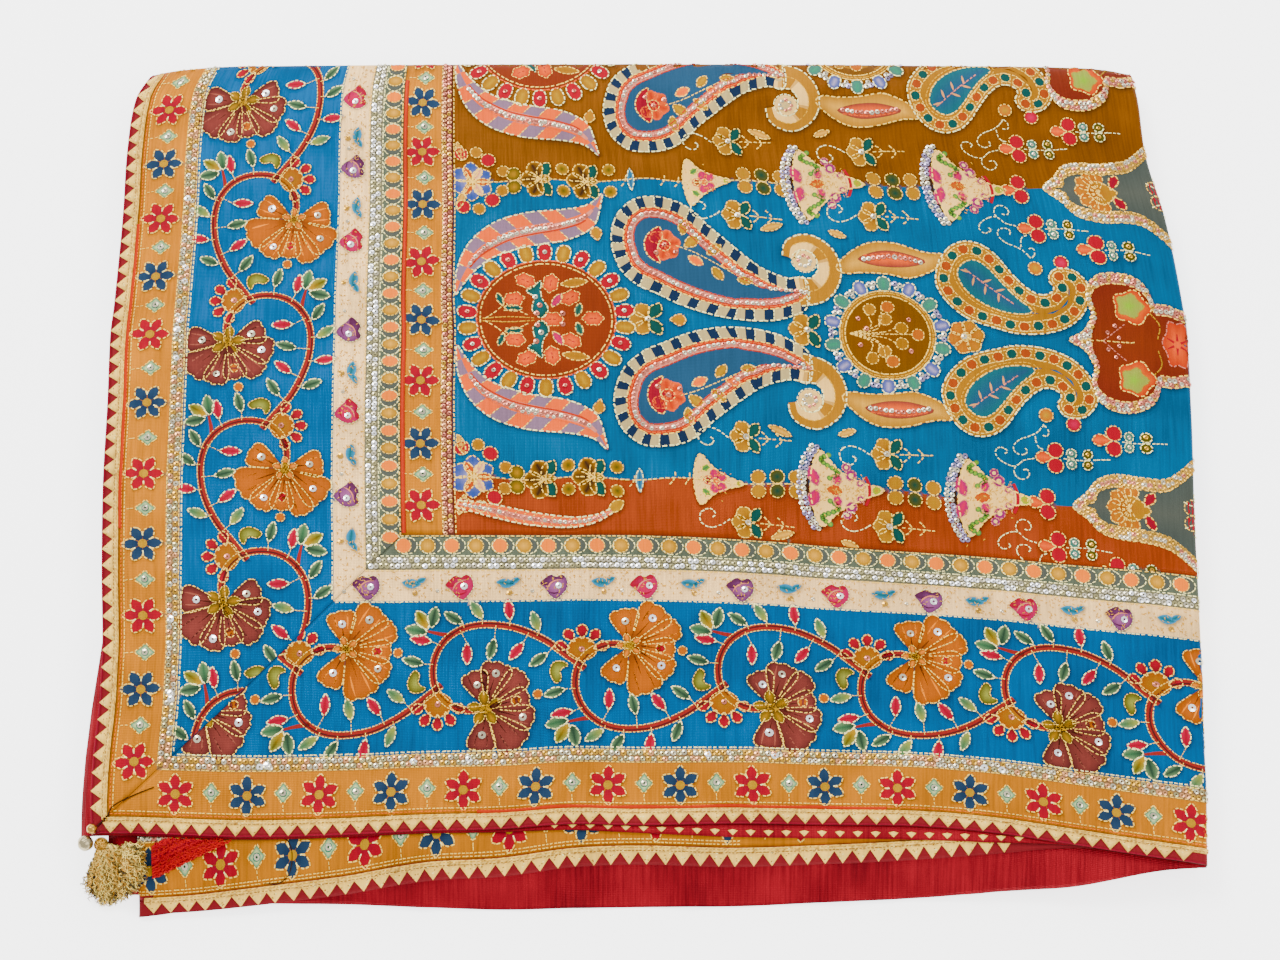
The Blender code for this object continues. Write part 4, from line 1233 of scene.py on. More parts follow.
# flower band, strips, dots and buds of the border
flowerStops = {
    "side": (54, 100.7, 147.4, 194.1, 240.8, 287.5, 334.2, 380.9, 427.6, 474.3, 521, 567.7, 614.4, 661,
             707.8),
    "end": (46, 93, 142, 191, 241, 293, 344, 388, 433, 476, 519, 563),
    "inner": (218, 262, 308, 353, 397, 441, 482, 521, 560),
    "third": (36, 83, 130, 177, 224, 271, 318, 365, 412, 459, 506),
}


def flowerBand(inks, chart, places, depth, names=("red", "navy")):
    # rosettes of two colours, with a diamond and its stitched stalk between each two
    for k, at in enumerate(places):
        rosette(inks, chart, at, depth, names[k % 2])
        if k:
            middle = (at + places[k - 1]) / 2
            eyeDiamond(inks, chart, middle, depth + 1.5)
            stalk = ((middle, depth - 5.5), (middle + 0.4, depth - 11))
            stitch(inks["thread"], chart, stalk, "stitchGold", scale=0.6)


def drawFlowerBands():
    flowerBand(topInks, sideChart, flowerStops["side"], 26)
    flowerBand(topInks, endChart, [endZero - at for at in flowerStops["end"]], 26)
    flowerBand(topInks, innerChart, flowerStops["inner"], 210.5)
    for chart, low, high in ((sideChart, 12, 720), (endChart, -32, 510)):
        for depth, tint in ((12.6, "peach"), (14.4, "stitchGold")):
            stitch(borderThread, chart, ((low, depth), (high, depth)), tint, scale=0.62)


stripSetup = {
    "lines": ((41.5, "stitchGold"), (49.6, "stitchGold"), (51.2, "stitchPale"), (151.2, "stitchPale"),
              (172.4, "stitchGold"), (182.4, "stitchPale"), (196.2, "stitchGold")),
    "outer": (45.5, ("peachSequin", "goldFoil", "oldSilver", "silver")),
    "silver": (177.5, ("oldSilver", "silver", "sparkle")),
    "inner": (228, ("peachSequin", "rose", "peachSequin", "goldFoil")),
    "glintSequins": 9, "dotDepth": 189.5, "piping": 198.6,
}


def drawStrips():
    # sequin strips, stitched band lines, dots
    for chart, low, high in ((sideChart, 0, 720), (endChart, -32, 500)):
        depth, tints = stripSetup["outer"]
        sequinRow(foil, chart, ((low, depth), (high, depth)), 1.8, tints, 3.6, 2, 3.8)
        # a few larger white sequins scattered along the strip are painted glints
        glintSequins = dice.uniform(max(low, 40), high - 20, stripSetup["glintSequins"])
        places = np.stack([glintSequins, dice.uniform(44, 47, stripSetup["glintSequins"])], -1)
        sequinsAt(foil, chart, places, 2.4, "sparkle")
        depth, tints = stripSetup["silver"]
        sequinRow(foil, chart, ((low, depth), (high, depth)), 1.8, tints, 3.6, 2, 3.9)
        for depth, tint in stripSetup["lines"]:
            stitch(borderThread, chart, ((low, depth), (high, depth)), tint, scale=0.8)
    depth, tints = stripSetup["inner"]
    sequinRow(foil, innerChart, ((198, depth), (552, depth)), 1.6, tints, 3.5, 2, 3.5)
    for thread, depth in ((borderThread, 224.6), (fieldThread, 233)):
        stitch(thread, innerChart, ((198, depth), (552, depth)), scale=0.8)
    piping = [(v, stripSetup["piping"]) for v in range(198, 553, 20)]
    cordLine(borderThread, innerChart, piping, 3.0, 0.9, "piping")
    for chart, first, last, step, along, across in ((sideChart, 198, 715, 15.9, 5.0, 4.8),
                                                    (endChart, -28, 330, 12.7, 4.0, 5.4)):
        for k, at in enumerate(np.arange(first, last, step)):
            place = moved(chart, at, stripSetup["dotDepth"])
            behind = moved(place, 2.2, 0)
            tints = (("peach", "peach"), ("dotOchre", "lightTan"))[k % 2]
            # a larger grey oval shifted aside behind each dot is a painted drop shadow, with a stitched rim
            fillShape(bloom, behind, roundOutline(along + 1.6, across + 0.6), "grey")
            fillShape(detail, place, roundOutline(along, across), *tints)
            for where, wider, taller, tint, scale in ((behind, 2.2, 1.0, "stitchPale", 0.7),
                                                      (place, 0.3, 0.3, "stitchGold", 0.62)):
                outline = roundOutline(along + wider, across + taller)
                stitch(borderThread, where, outline, tint, closed=True, scale=scale)


budOutline = ((-7.6, -0.6), (-5.6, -3.2), (-3.4, -6.6), (0.6, -9.2), (4.4, -6.4), (7.6, -2.6), (8.2, 2.0),
              (6.6, 6.2), (3.6, 7.6), (0.6, 5.8), (-2.6, 7.8), (-6.4, 5.6), (-10.2, 2.0))
budWrap = ((-10.0, 1.8), (-6.4, 5.4), (-2.8, 7.4), (0.6, 5.8), (3.8, 7.4), (6.6, 5.8), (4.4, 4.2), (0.6, 3.4),
           (-2.8, 1.0), (-6.0, 0.2))
budSetup = {
    "side": (174, 236, 298, 357, 420, 482, 543, 605, 667), "end": (-2, 53, 110, 178, 238, 298),
    "depth": 161.5,
    "tints": (("magentaPink", "pink", "bowl"), ("purple", "orchid", "deepPurple")),
    "flecksPerMm": 21 / 13,
}


def budAt(chart, a, b, edge, core, wrap):
    # heart-shaped bud with a leaf tip and a petal wrapped over its top
    place = moved(chart, a, b, float(dice.normal(0, 6)))
    outline = smoothLine(budOutline, closed=True, step=2.0)
    fillShape(bloom, place, outline, edge, core, soft=0.8)
    softShade(place, outline, 0.7)
    fillShape(detail, place, smoothLine(budWrap, closed=True, step=1.8), wrap, edge, soft=1.6)
    seam = ((-5.6, -2.4), (-3.4, 1.4), (0.4, 3.7), (4.4, 4.0))
    ribbon(spot, place, seam, (0.3, 1.1, 0.9, 0.3), "rose", step=2.0)
    ribbon(spot, place, ((-4.5, -4.2), (-0.5, -5.4), (3.5, -4.2)), (0.3, 1.0, 0.3), wrap, step=2.0)
    stitch(borderThread, place, outline[2:-2] * 1.04, "stitchPale", even=True, scale=0.42, gap=2.4)
    # white sequin, partly a painted glint
    sequinsAt(foil, place, (2.6, -0.4), 2.3, "sparkle")


def drawBuds():
    for chart, places, first in ((sideChart, budSetup["side"], 1), (endChart, budSetup["end"], 0)):
        for k, at in enumerate(places):
            budAt(chart, at, budSetup["depth"], *budSetup["tints"][(k + first) % 2])
            middle = at + 31
            leafAt(bloom, chart, middle - 8, 164.5, -8, 13, 6.5, "sky", "teal")
            leafAt(bloom, chart, middle + 1, 163.5, 28, 8, 4.0, "sky", "teal")
            sequinsAt(foil, chart, (middle + 1, 157), 2.0, "goldFoil")
            sequinsAt(foil, chart, (at - 15, 158), 1.3, "silver")
    for chart, low, high in ((sideChart, 153, 716), (endChart, -28, 371)):
        count = int((high - low) * budSetup["flecksPerMm"])
        a, b = dice.uniform(low, high, count), dice.uniform(154, 171.5, count)
        flecks(borderThread, chart, a, b, dice.uniform(0, math.pi, count))


# flowering vine
vine = {"period": 186.0, "start": 161.0, "heartDepth": 120.0, "mirrorDepth": 79.0, "stemWidth": 4.0,
        "flower": 0.93, "paleShare": 0.4}
vineTints = {"pink": ("pink", "bowl", "bowl"), "leaf": ("paleLeaf", "leafDark", "leafDark"),
             "pale": ("paleLeaf", "leafGreen", "paleOlive")}
stemLine = ((0, 0), (-13, 1), (-25.5, -4), (-33.5, -15), (-34.7, -30), (-29.6, -43), (-19.4, -52), (-7, -56),
            (7, -56), (21, -53), (38, -45), (52, -34.5), (64, -25))
vineLeaves = ((-41, -30, 195, "leaf"), (-36, -45, 190, "pink"), (-13, -44, 88, "pink"), (5, -47, 104, "leaf"),
              (24, -44, 128, "pink"), (40, -36, 145, "leaf"), (-16, -57, 212, "leaf"), (-3, -60, 236, "leaf"),
              (15, -59, 262, "pink"), (34, -51, 250, "leaf"))
commaOutline = ((43, -19), (41.5, -24), (44, -29.5), (50, -30), (54, -27), (50, -25.5), (48.5, -22.5),
                (49.5, -18), (46, -15))
petalSide = ((0.3, 0.2), (0.55, 0.38), (0.76, 0.5), (0.9, 0.46), (0.965, 0.31), (0.935, 0.2), (0.985, 0.09))
# petals: turn, length, width; heart: turns, length and tints of the small leaves in the middle
orangeFlower = {
    "petals": ((100, 28, 21), (-117, 30, 19), (-68, 38, 25), (52, 37, 25), (22, 39, 17), (-33, 37, 18),
               (-5, 33, 17)),
    "tints": ("orange", "deepOrange", "burntOrange", "orangeLight"), "bead": "red",
    "heart": ((36, 108, 180, 252, 324), 9.5, "burntOrange", "orangeLight"),
}
maroonFlower = {
    "petals": ((110, 29, 19), (-96, 31, 20), (-50, 38, 25), (75, 35, 22), (43, 37, 18), (-15, 36, 18),
               (14, 32, 17)),
    "tints": ("maroon", "deepMaroon", "calyx", "maroonLight"), "bead": "orange",
    "heart": ((28, 100, 172, 236, 304), 13.0, "olive", "dotOchre"),
}


def petalOutline(length, width):
    # narrow root, broad tip with small scallops
    points = [(2, 0)] + [(a * length, b * width) for a, b in petalSide]
    points += [(a * length, -b * width) for a, b in petalSide[::-1]]
    return smoothLine(points, closed=True, step=1.9)


def vineFlower(chart, kind):
    petals, (edge, core, root, light) = kind["petals"], kind["tints"]
    for k, (turn, length, width) in enumerate(petals):
        place = moved(chart, 0, 0, turn)
        outline = petalOutline(length, width)
        ink = (bloom, bloom, bloom, bloom, detail, detail, spot)[k]
        softShade(place, outline, 1.25)
        fillShape(ink, place, outline, core, edge, spine=((length * 0.45, 0), (length * 0.8, 0)), soft=0.5,
                  root=(root, length * 0.34))
        for aside in (-0.2, 0.2):
            vein = [(length * a, aside * width * b) for a, b in ((0.5, 0.8), (0.7, 1), (0.9, 1.1))]
            ribbon(ink, place, vein, (0.3, 1.5, 0.3), light, step=4.0)
        stitch(borderThread, place, outline[outline[:, 0] > 8.5], even=True, scale=0.7)
        middleVein = ((8, 0.4), (length * 0.42, 0.3), (length * 0.62, 0))
        ribbon(ink, place, middleVein, (1.3, 0.8, 0.2), root, step=4.0)
    # sequins on four petals; the white ones are partly painted glints
    for k, far in ((0, 18), (1, 19), (3, 26), (5, 27)):
        sequinsAt(foil, moved(chart, 0, 0, petals[k][0]), (far, 0), 2.6, ("silver", "sparkle"))
    middle = moved(chart, 0, 0, petals[6][0])
    dotAt(spot, middle, 22, 0, 3.4, kind["bead"], thread=borderThread, ry=2.9)
    dotAt(bloom, middle, 37.5, 0, 3.2, "orange", thread=borderThread)
    turns, size, edge, core = kind["heart"]
    for turn in turns:
        leafAt(spot, chart, 0, 0, turn, size, size * 0.54, edge, core, belly=0.6, root="darkLine")
        rim = leafOutline(size, size * 0.54, 0.6)[2:-1]
        stitch(borderThread, moved(chart, 0, 0, turn), rim, even=True, scale=0.5)
    heart = roundOutline(4.8, 3.6, 12)
    fillShape(spot, chart, heart, "yellow", "yellow")
    stitch(borderThread, chart, heart * 0.62, "yellow", closed=True, scale=0.6)


def vineStem(chart):
    line = smoothLine(stemLine, step=3.0)
    softShade(chart, np.concatenate([line + (0, 1.4), line[::-1] - (0, 1.4)]), 0.8)
    line, across = ribbon(bloom, chart, stemLine, vine["stemWidth"], "stem")
    for side in (-1, 1):
        rim = line + across * side * (vine["stemWidth"] / 2 + 0.2)
        stitch(borderThread, chart, rim, even=True, scale=0.58)
    ribbon(detail, chart, np.array(stemLine) + (0.4, -0.7), 0.9, "deepMaroon")
    for a, b, turn, kind in vineLeaves:
        edge, core, root = vineTints[kind]
        if kind == "leaf" and dice.uniform() < vine["paleShare"]:
            edge, core, root = vineTints["pale"]
        leafAt(bloom, chart, a, b, turn, 15, 6.6, edge, core, borderThread, "stitchPale", root=root)
        twig = nearestOn(line, np.array([[a, b]], float))[0]
        stitch(borderThread, chart, (twig, (a, b)), scale=0.5)
    for a, b, turn, edge, core, root in ((-39, -53, 240, "paleOlive", "olive", "yellow"),
                                         (-37, -54, 282, "paleLeaf", "leafDark", "leafDark"),
                                         (-39, -51, 192, "paleLeaf", "leafGreen", "leafDark")):
        leafAt(bloom, chart, a, b, turn, 15.5, 8.0, edge, core, borderThread, "stitchPale", root=root)
    ribbon(bloom, chart, ((-22, -49), (-30, -50), (-39, -52)), (3.2, 2.4, 1.4), "stem")
    outline = smoothLine(commaOutline, closed=True, step=1.8)
    softShade(chart, outline)
    fillShape(bloom, chart, outline, "olive", "paleOlive", root=("yellow", 10))
    edgeStitch(borderThread, chart, outline, scale=0.6)
    # a bowl of red petals with a yellow half moon in it
    for turn in (198, 234, 270, 306, 342):
        along, aside = math.cos(math.radians(turn)), math.sin(math.radians(turn))
        leafAt(bloom, chart, 62 + 7.5 * along, -36 + 8.5 * aside, turn, 11, 7.2, "bowl", "red", borderThread,
               belly=0.64, root="deepMaroon")
    half = [(9.4 * math.cos(t) + 62, -36.0 + 10.5 * math.sin(t))
            for t in np.linspace(math.pi * 1.02, math.pi * 1.98, 9)]
    outline = smoothLine(half + [(69, -33), (62, -30), (55, -33)], closed=True, step=2.0)
    fillShape(detail, chart, outline, "deepOrange", "mustard", soft=0.8)
    edgeStitch(borderThread, chart, outline, scale=0.6)
    sequinsAt(foil, chart, (62, -38), 2.0, "rose")


def drawVine():
    # flowers of the two kinds take turns; the end strip starts with the other one
    for chart, start, first in ((sideChart, vine["start"], 1), (endChart, 0.0, -1)):
        for k in range(-2, 8):
            flip = first if k % 2 == 0 else -first
            at, depth = start + vine["period"] / 2 * k, vine["heartDepth" if flip == 1 else "mirrorDepth"]
            vineStem(moved(chart, at, depth, flip=flip))
            kind = orangeFlower if flip == 1 else maroonFlower
            vineFlower(moved(chart, at, depth, size=vine["flower"]), kind)


drawFlowerBands()
drawStrips()
drawBuds()
drawVine()
print("border motifs drawn")

# the field: half a row of motifs, in mm from its left side and from the row's middle
featherOuter = ((1.8, 18.7), (2.7, 36), (7.8, 52), (16.3, 64), (29, 74), (46, 80), (58.8, 82), (75.8, 83.4),
                (88.5, 85.7), (95.3, 89), (102, 96))
featherInner = ((2.2, 18.2), (10.3, 30.5), (18, 39.5), (27.3, 46.8), (38.4, 51.3), (50.3, 55), (63, 57.2),
                (75.8, 59.5), (88.5, 65), (97, 73), (102.5, 95))
frontFeatherLine = ((1.5, 92), (20, 88.5), (48, 82), (76, 79), (93, 81.5), (104, 87))
frontFeatherWidths = (5, 9, 9.4, 8.4, 6.4, 3)
paisleyOutline = ((236, 17), (220, 7), (208, 4), (195, 3), (178, 4), (161, 8), (148, 13), (136, 19),
                  (125, 25), (115, 34), (110, 44), (107, 57), (108, 70), (112, 80), (117, 86), (124, 91),
                  (133, 93), (145, 92), (156, 88), (165, 81), (173, 72), (184, 62), (194, 53), (204, 45),
                  (214, 40), (225, 37), (236, 38))
paisleySpine = ((138, 56), (150, 51), (165, 44), (195, 28), (236, 27.5))
crescentOutline = ((139, 70), (132, 64), (129.5, 56), (132, 47), (139, 42), (137, 49), (138, 56), (141, 62))
curlLine = ((230, 27.5), (244, 30.5), (252, 42), (250.5, 56), (240, 65), (229, 62), (226, 53))
dottedOutline = ((323, 41), (325, 50), (328, 57), (336, 66), (347, 70), (358, 67), (366, 60), (372, 51),
                 (378, 43), (384, 37), (391, 33), (398, 34), (402, 38), (399, 43), (400, 48), (404, 52),
                 (411, 53), (418, 51), (423, 46), (426, 38), (423, 27), (417, 18), (408, 11), (397, 6.5),
                 (385, 4.5), (372, 4.5), (360, 7.5), (348, 11), (338, 16), (329, 25), (324, 34))
dottedSpine = ((344, 45), (352, 38), (365, 29), (385, 19), (399, 20), (409, 27), (412, 36), (411, 44))
dottedInside = ((338, 47), (343, 54), (350, 56.5), (357, 53), (363, 46), (369, 38), (376, 30), (385, 22),
                (381, 18.5), (368, 19), (356, 23), (346, 30), (340, 38))
insideSpine = ((345, 46), (355, 38), (378, 22))
ogeeOutline = ((408, 0), (418, 6), (423, 14), (426, 23), (424, 32), (426, 41), (432, 47), (441, 49),
               (452, 48), (460, 43), (464, 36), (466, 29), (475, 29), (484, 26), (496, 24))
greyOutline = ((0, 0), (10, 9), (18, 18), (30, 21.5), (45, 21.5), (60, 23), (70, 29), (84, 42), (96, 48))
leafOver = ((257, 47), (264, 56), (275, 64), (286, 67), (299, 66), (312, 62), (321, 60), (329, 60), (329, 56),
            (324, 49), (315, 44), (304, 41), (293, 43), (283, 44), (272, 44), (263, 43))
leafHeart = ((272, 54), (285, 60), (300, 60), (318, 54), (304, 49), (286, 49))
wingOutline = ((-4, 1), (-9, 6), (-8, 13), (-7, 17), (-13, 21), (-8, 24), (-2.5, 29.5), (-3, 22), (-2, 15),
               (1.5, 9), (0, 3))
fanOutline = ((0, 1.6), (-14, 6), (-29, 14.5), (-41, 27), (-46, 16), (-48, 0), (-46, -16), (-41, -27),
              (-29, -14.5), (-14, -6), (0, -1.6))
fanFlecks = (144, 40)       # loose dashes on a full fan and on a small one
fanArc = ((-40, 28.5), (-46.5, 16), (-49, 0), (-46.5, -16), (-40, -28.5))
tendrilLines = (
    ((383, 82.3), (375.7, 84.2), (370.4, 88.6), (365, 87.9), (359.2, 84.4), (357, 79.7), (360.3, 76.3),
     (365.3, 78.5), (363.3, 80.8)),
    ((370.4, 88.6), (369, 91.7), (370.8, 96.1), (375.2, 97.4), (379.3, 94.2), (378.1, 90.4), (374.3, 91)),
    ((389.4, 58.6), (385.2, 64), (379.3, 67.5), (373.4, 70), (369.2, 74.7), (370, 79.1), (374.8, 80.6),
     (378.3, 78.5), (376.7, 75.4)),
    ((383.5, 66.5), (384, 71.6), (385.8, 74.7), (389.4, 76)),
    ((389.4, 59), (392.3, 62.5), (391.8, 66.5), (388, 66)),
)


def fieldLeaf(ink, chart, a, b, turn, length, width, edge, core, tint="stitchGold", **more):
    leafAt(ink, chart, a, b, turn, length, width, edge, core, fieldThread, tint, **more)


def leafSpray(ink, chart, a, b, turns, *shape, **more):
    # equal leaves that spread from one place
    for turn in turns:
        fieldLeaf(ink, chart, a, b, turn, *shape, **more)


def fieldDots(ink, chart, places, radius, edge, core, tint="stitchGold"):
    for a, b in places:
        dotAt(ink, chart, a, b, radius, edge, core, fieldThread, tint)


def mirrored(points):
    # a closed outline from its upper half
    return smoothLine(points + tuple((a, -b) for a, b in points[:0:-1]), closed=True, step=2.8)


def resampled(line, count):
    share = np.linspace(0, 1, count + 1) * (len(line) - 1)
    return np.stack([np.interp(share, range(len(line)), line[:, k]) for k in (0, 1)], -1)


def feather(chart):
    # checked feather with a rose band of sequins along its middle
    count = 36
    outer, inner = (resampled(smoothLine(line, step=1.0), count) for line in (featherOuter, featherInner))
    middle = outer * 0.46 + inner * 0.54
    softShade(chart, np.concatenate([outer, inner[::-1]]), 1.3)
    for shift, (first, second) in enumerate(((outer, middle), (middle, inner))):
        cells = np.array([colour[("coral", "mauve")[(k // 3 + shift) % 2]] for k in range(count)])
        fillRing(bloom, chart, first, second, cells, closed=False)
    for k in range(3, count, 3):
        for rim in (outer, inner):
            stitch(fieldThread, chart, (rim[k], rim[k] * 0.42 + middle[k] * 0.58), scale=0.7)
    ribbon(detail, chart, middle[6:33], (1.5, 6.5, 8, 7, 2), "rose")
    for aside, tint in ((-3.0, "piping"), (3.0, "coral")):
        ribbon(spot, chart, middle[7:31] + (0, aside), 1.2, tint)
    sequinRow(foil, chart, middle[7:31], 1.6, ("silver", "rose"), 3.2, even=True)
    sequinRow(foil, chart, middle[10:24] + (1.5, 2.6), 1.3, ("silver", "rose"), 4.2, even=True)
    for rim in (outer, inner):
        stitch(fieldThread, chart, rim, "stitchPale", even=True)


def frontFeather(chart):
    # the front panel's narrow feather, with a bud at its tip
    line, across = ribbon(bloom, chart, frontFeatherLine, frontFeatherWidths, "coral")
    share = np.linspace(0, 1, len(line)), np.linspace(0, 1, len(frontFeatherWidths))
    half = across * np.interp(*share, frontFeatherWidths)[:, None] / 2
    softShade(chart, np.concatenate([line - half, (line + half)[::-1]]), 1.2)
    ribbon(detail, chart, frontFeatherLine, (0.8, 3.6, 3.8, 3.2, 2.2, 0.6), "rose")
    for side in (-half, half):
        stitch(fieldThread, chart, line + side, "stitchPale", even=True)
        for k in range(2, len(line) - 2, 2):
            stitch(fieldThread, chart, (line[k] + side[k], line[k - 1] + side[k] * 0.4), scale=0.6)
    sequinRow(foil, chart, line[2:-2], 1.4, ("silver", "rose"), 3.3, even=True)
    fieldLeaf(bloom, chart, 102, 86, 40, 13, 7.6, "yellow", "dotOchre")


def paisley(chart):
    # checked rim, piping, a steel blue heart
    line = smoothLine(paisleyOutline, closed=True, step=2.2)
    rim, pipe, inner = (inset(line, paisleySpine, width) for width in (8.5, 11.4, 16.0))
    checks = np.array([colour[("checkNavy", "checkCream")[k // 3 % 2]] for k in range(len(line))])
    fillRing(bloom, chart, line, rim, checks)
    softShade(chart, line, 1.3)
    fillRing(bloom, chart, rim, pipe, colour["piping"])
    fillRing(bloom, chart, pipe, inner, colour["rose"])
    fillShape(bloom, chart, inner, "steel", spine=paisleySpine)
    edgeStitch(fieldThread, chart, line, "stitchPale")
    edgeStitch(fieldThread, chart, rim)
    edgeStitch(fieldThread, chart, inner, "piping", 0.9, 0.5)
    edgeStitch(fieldThread, chart, inset(line, paisleySpine, 10.0), "coral", 0.95, 0.5)
    row = inset(line, paisleySpine, 12.8)
    gaps = np.linalg.norm(row - np.roll(row, 1, axis=0), axis=1) > 0.5
    sequinRow(foil, chart, row[gaps], 1.5, ("rose", "silver", "rose"), 3.4, even=True)
    for ends in zip(line[::6], rim[::6]):
        stitch(fieldThread, chart, ends, "stitchPale", scale=0.7)
    # inside: a coral flower with a red crescent and yellow leaves
    crescent = smoothLine(crescentOutline, closed=True, step=2.0)
    fillShape(detail, chart, crescent, "bowl", "crimson")
    edgeStitch(fieldThread, chart, crescent, scale=0.8)
    for turn in (75, 15, -45, -100, 130):
        leafAt(detail, chart, 142, 56, turn, 12, 10, "coral", "piping", fieldThread, "coral", belly=0.62)
    dotAt(detail, chart, 142, 56, 4.2, "red", "crimson", fieldThread)
    sequinsAt(foil, chart, [(142, 56), (136, 50), (150, 51)], 1.8, "rose")
    cores = {"mustard": "yellow", "peach": "coral"}
    for a, b, turn, edge, size in ((155, 64, 80, "mustard", 13), (156, 55, 40, "mustard", 14),
                                   (158, 48, -30, "peach", 12), (171, 50, 40, "mustard", 13),
                                   (174, 41, -55, "mustard", 12), (180, 42, 12, "peach", 11),
                                   (190, 33, -5, "mustard", 11)):
        fieldLeaf(detail, chart, a, b, turn, size, size * 0.56, edge, cores[edge])
    stitch(fieldThread, chart, ((150, 56), (165, 50), (190, 36), (204, 29)), scale=0.7)


def paisleyTail(chart):
    # curled tail with a round end
    line = smoothLine(curlLine, step=2.5)
    across = sideways(line)[1]
    share = np.linspace(0, 1, len(line))[:, None]
    half = across * np.interp(share, (0, 0.3, 0.7, 1), (21, 16.5, 12.5, 9)) / 2
    softShade(chart, np.concatenate([line + half, (line - half)[::-1]]), 1.2)
    warm = np.clip(np.sin(share * 14) * 1.4, 0, 1) * (share < 0.82)
    cells = (colour["fanCream"] + (colour["tan"] - colour["fanCream"]) * warm)[:-1]
    for side, tints in ((-1, np.broadcast_to(colour["tan"], cells.shape)), (1, cells)):
        fillRing(detail, chart, line + half * side, line, tints, closed=False)
        stitch(fieldThread, chart, line + half * side, "stitchPale", even=True)
    dotAt(detail, chart, 236, 51, 8.0, "fanCream", "checkCream", fieldThread, "stitchPale")
    places = [(236 + 4 * math.cos(t), 51 + 4 * math.sin(t)) for t in np.arange(0, 6.2, 0.8)]
    sequinsAt(foil, chart, places, 1.3, ("silver", "rose"))
    stitch(fieldThread, chart, line[3:-4], "laceGold", even=True, scale=0.8)


def dottedPaisley(chart):
    # tan hook with a row of dots and a blue heart
    line, inside = (smoothLine(outline, closed=True, step=2.6) for outline in (dottedOutline, dottedInside))
    softShade(chart, line, 1.3)
    fillShape(bloom, chart, line, "tan", "rimGold", spine=dottedSpine)
    fillShape(detail, chart, inside, "teal", "steel", spine=insideSpine)
    edgeStitch(fieldThread, chart, line, "stitchPale")
    edgeStitch(fieldThread, chart, inside, scale=0.9)
    edgeStitch(fieldThread, chart, inset(inside, insideSpine, -2.4), "laceGold", 0.8)
    row = inset(line, dottedSpine, 5.6)
    dots = evenLine(np.concatenate([row, row[:1]]), 9.4)[:-1]
    for width in (2.2, 9.2):
        edgeStitch(fieldThread, chart, inset(line, dottedSpine, width), scale=0.7)
    for k, (a, b) in enumerate(dots):
        dotAt(detail, chart, a, b, 3.3, ("dotGreen", "dotRust")[k % 2])
        stitch(fieldThread, moved(chart, a, b), roundOutline(3.7, 3.7, 12), closed=True, scale=0.6)
    stitch(fieldThread, chart, ((343, 50), (352, 42), (362, 34), (374, 25)), "rose", scale=0.8)
    for a, b, turn in ((347, 47, 165), (349, 44, 255), (354, 40, 20), (356, 38, 260), (362, 34, 15),
                       (364, 33, 265)):
        leafAt(spot, chart, a, b, turn, 7, 1.5, "rose", "goldFoil")


def berries(chart, a, b, tail=True, turn=0):
    place = moved(chart, a, b, turn)
    fieldDots(bloom, place, ((4.5, 5.2), (4.5, -5.2)), 4.9, "red", "red")
    fieldLeaf(bloom, place, 3, 0, 180, 12, 8.2, "piping", "coral", belly=0.6)
    if tail:
        stitch(fieldThread, place, ((9, 0), (22, 0.6), (40, -1)), "stitchPale", scale=0.7)
        for x, name, tint in ((15, "greyGreen", "silver"), (26, "olive", "goldFoil")):
            for dy in (3.6, -3.6):
                dotAt(bloom, place, x, dy, 3.2, name, thread=fieldThread, tint="stitchPale")
                sequinsAt(foil, place, (x, dy), 1.4, tint)


def curl(chart, a, b, turn, size=1.0, flip=1):
    line = ((0, 0), (-6, 3), (-13, 4), (-18, 0), (-17, -6), (-11, -8), (-8, -4), (-11, -2))
    stitch(fieldThread, moved(chart, a, b, turn, size, flip), line, "stitchPale", scale=0.8)


def sprigFlower(chart, a, b):
    place = moved(chart, a, b)
    leafSpray(bloom, place, 1.5, 0, (60, -60), 12.5, 7.4, "darkGreen", "dotGreen")
    leafSpray(bloom, place, 1, 0, (180, 125, 235), 12.5, 10.5, "dotOchre", "tan", belly=0.62, root="brown")
    sequinsAt(foil, place, (-0.5, 0), 2.0, "silver")
    stitch(fieldThread, place, ((7, 0), (30, -1)), scale=0.8)
    for x in (14, 23):
        for dy in (5, -5):
            stitch(fieldThread, place, ((x, 0), (x - 1.5, dy * 0.5), (x - 4.5, dy)), scale=0.9)


def drawHalf(chart, front=False):
    if front:
        frontFeather(chart)
    else:
        feather(chart)
        paisley(chart)
        paisleyTail(chart)
        dottedPaisley(chart)
    leaf = smoothLine(leafOver, closed=True, step=2.8)
    softShade(chart, leaf, 1.2)
    fillShape(bloom, chart, leaf, "tan", "lightTan", spine=((270, 51), (290, 55), (318, 54)))
    heart = smoothLine(leafHeart, closed=True, step=2.6)
    fillShape(detail, chart, heart, "maroon", "coral", spine=((282, 54), (306, 54)))
    edgeStitch(fieldThread, chart, leaf)
    sequinRow(foil, chart, ((276, 54), (296, 56), (314, 53)), 1.7, ("silver", "rose"), 3.4)
    stitch(fieldThread, chart, ((276, 57), (297, 58.5), (314, 55)), "coral", scale=0.9)
    berries(chart, 392, 81)
    berries(chart, 430, 67)
    for line in tendrilLines:
        stitch(fieldThread, chart, line, "stitchPale", scale=0.7)
    for a, b, turn in ((182, 84, 10), (275, 87, 5)):
        curl(chart, a, b, turn, 1.1, -1)
    dotAt(bloom, chart, 391, 52, 4.4, "orange", "yellow", fieldThread)
    dotAt(bloom, chart, 409, 57, 4.6, "red", "pink", fieldThread)
    sprigFlower(chart, 194, 82)
    sprigFlower(chart, 287, 86)
    fieldLeaf(bloom, chart, 98, 59, 100, 11, 8, "ochre", "dotOchre", belly=0.6)
    for row in ((208, 72, 20, 17, 5.6), (266, 70, 160, 13, 5), (3, 84, 72, 16, 5.5)):
        fieldLeaf(bloom, chart, *row, "tan", "lightTan")


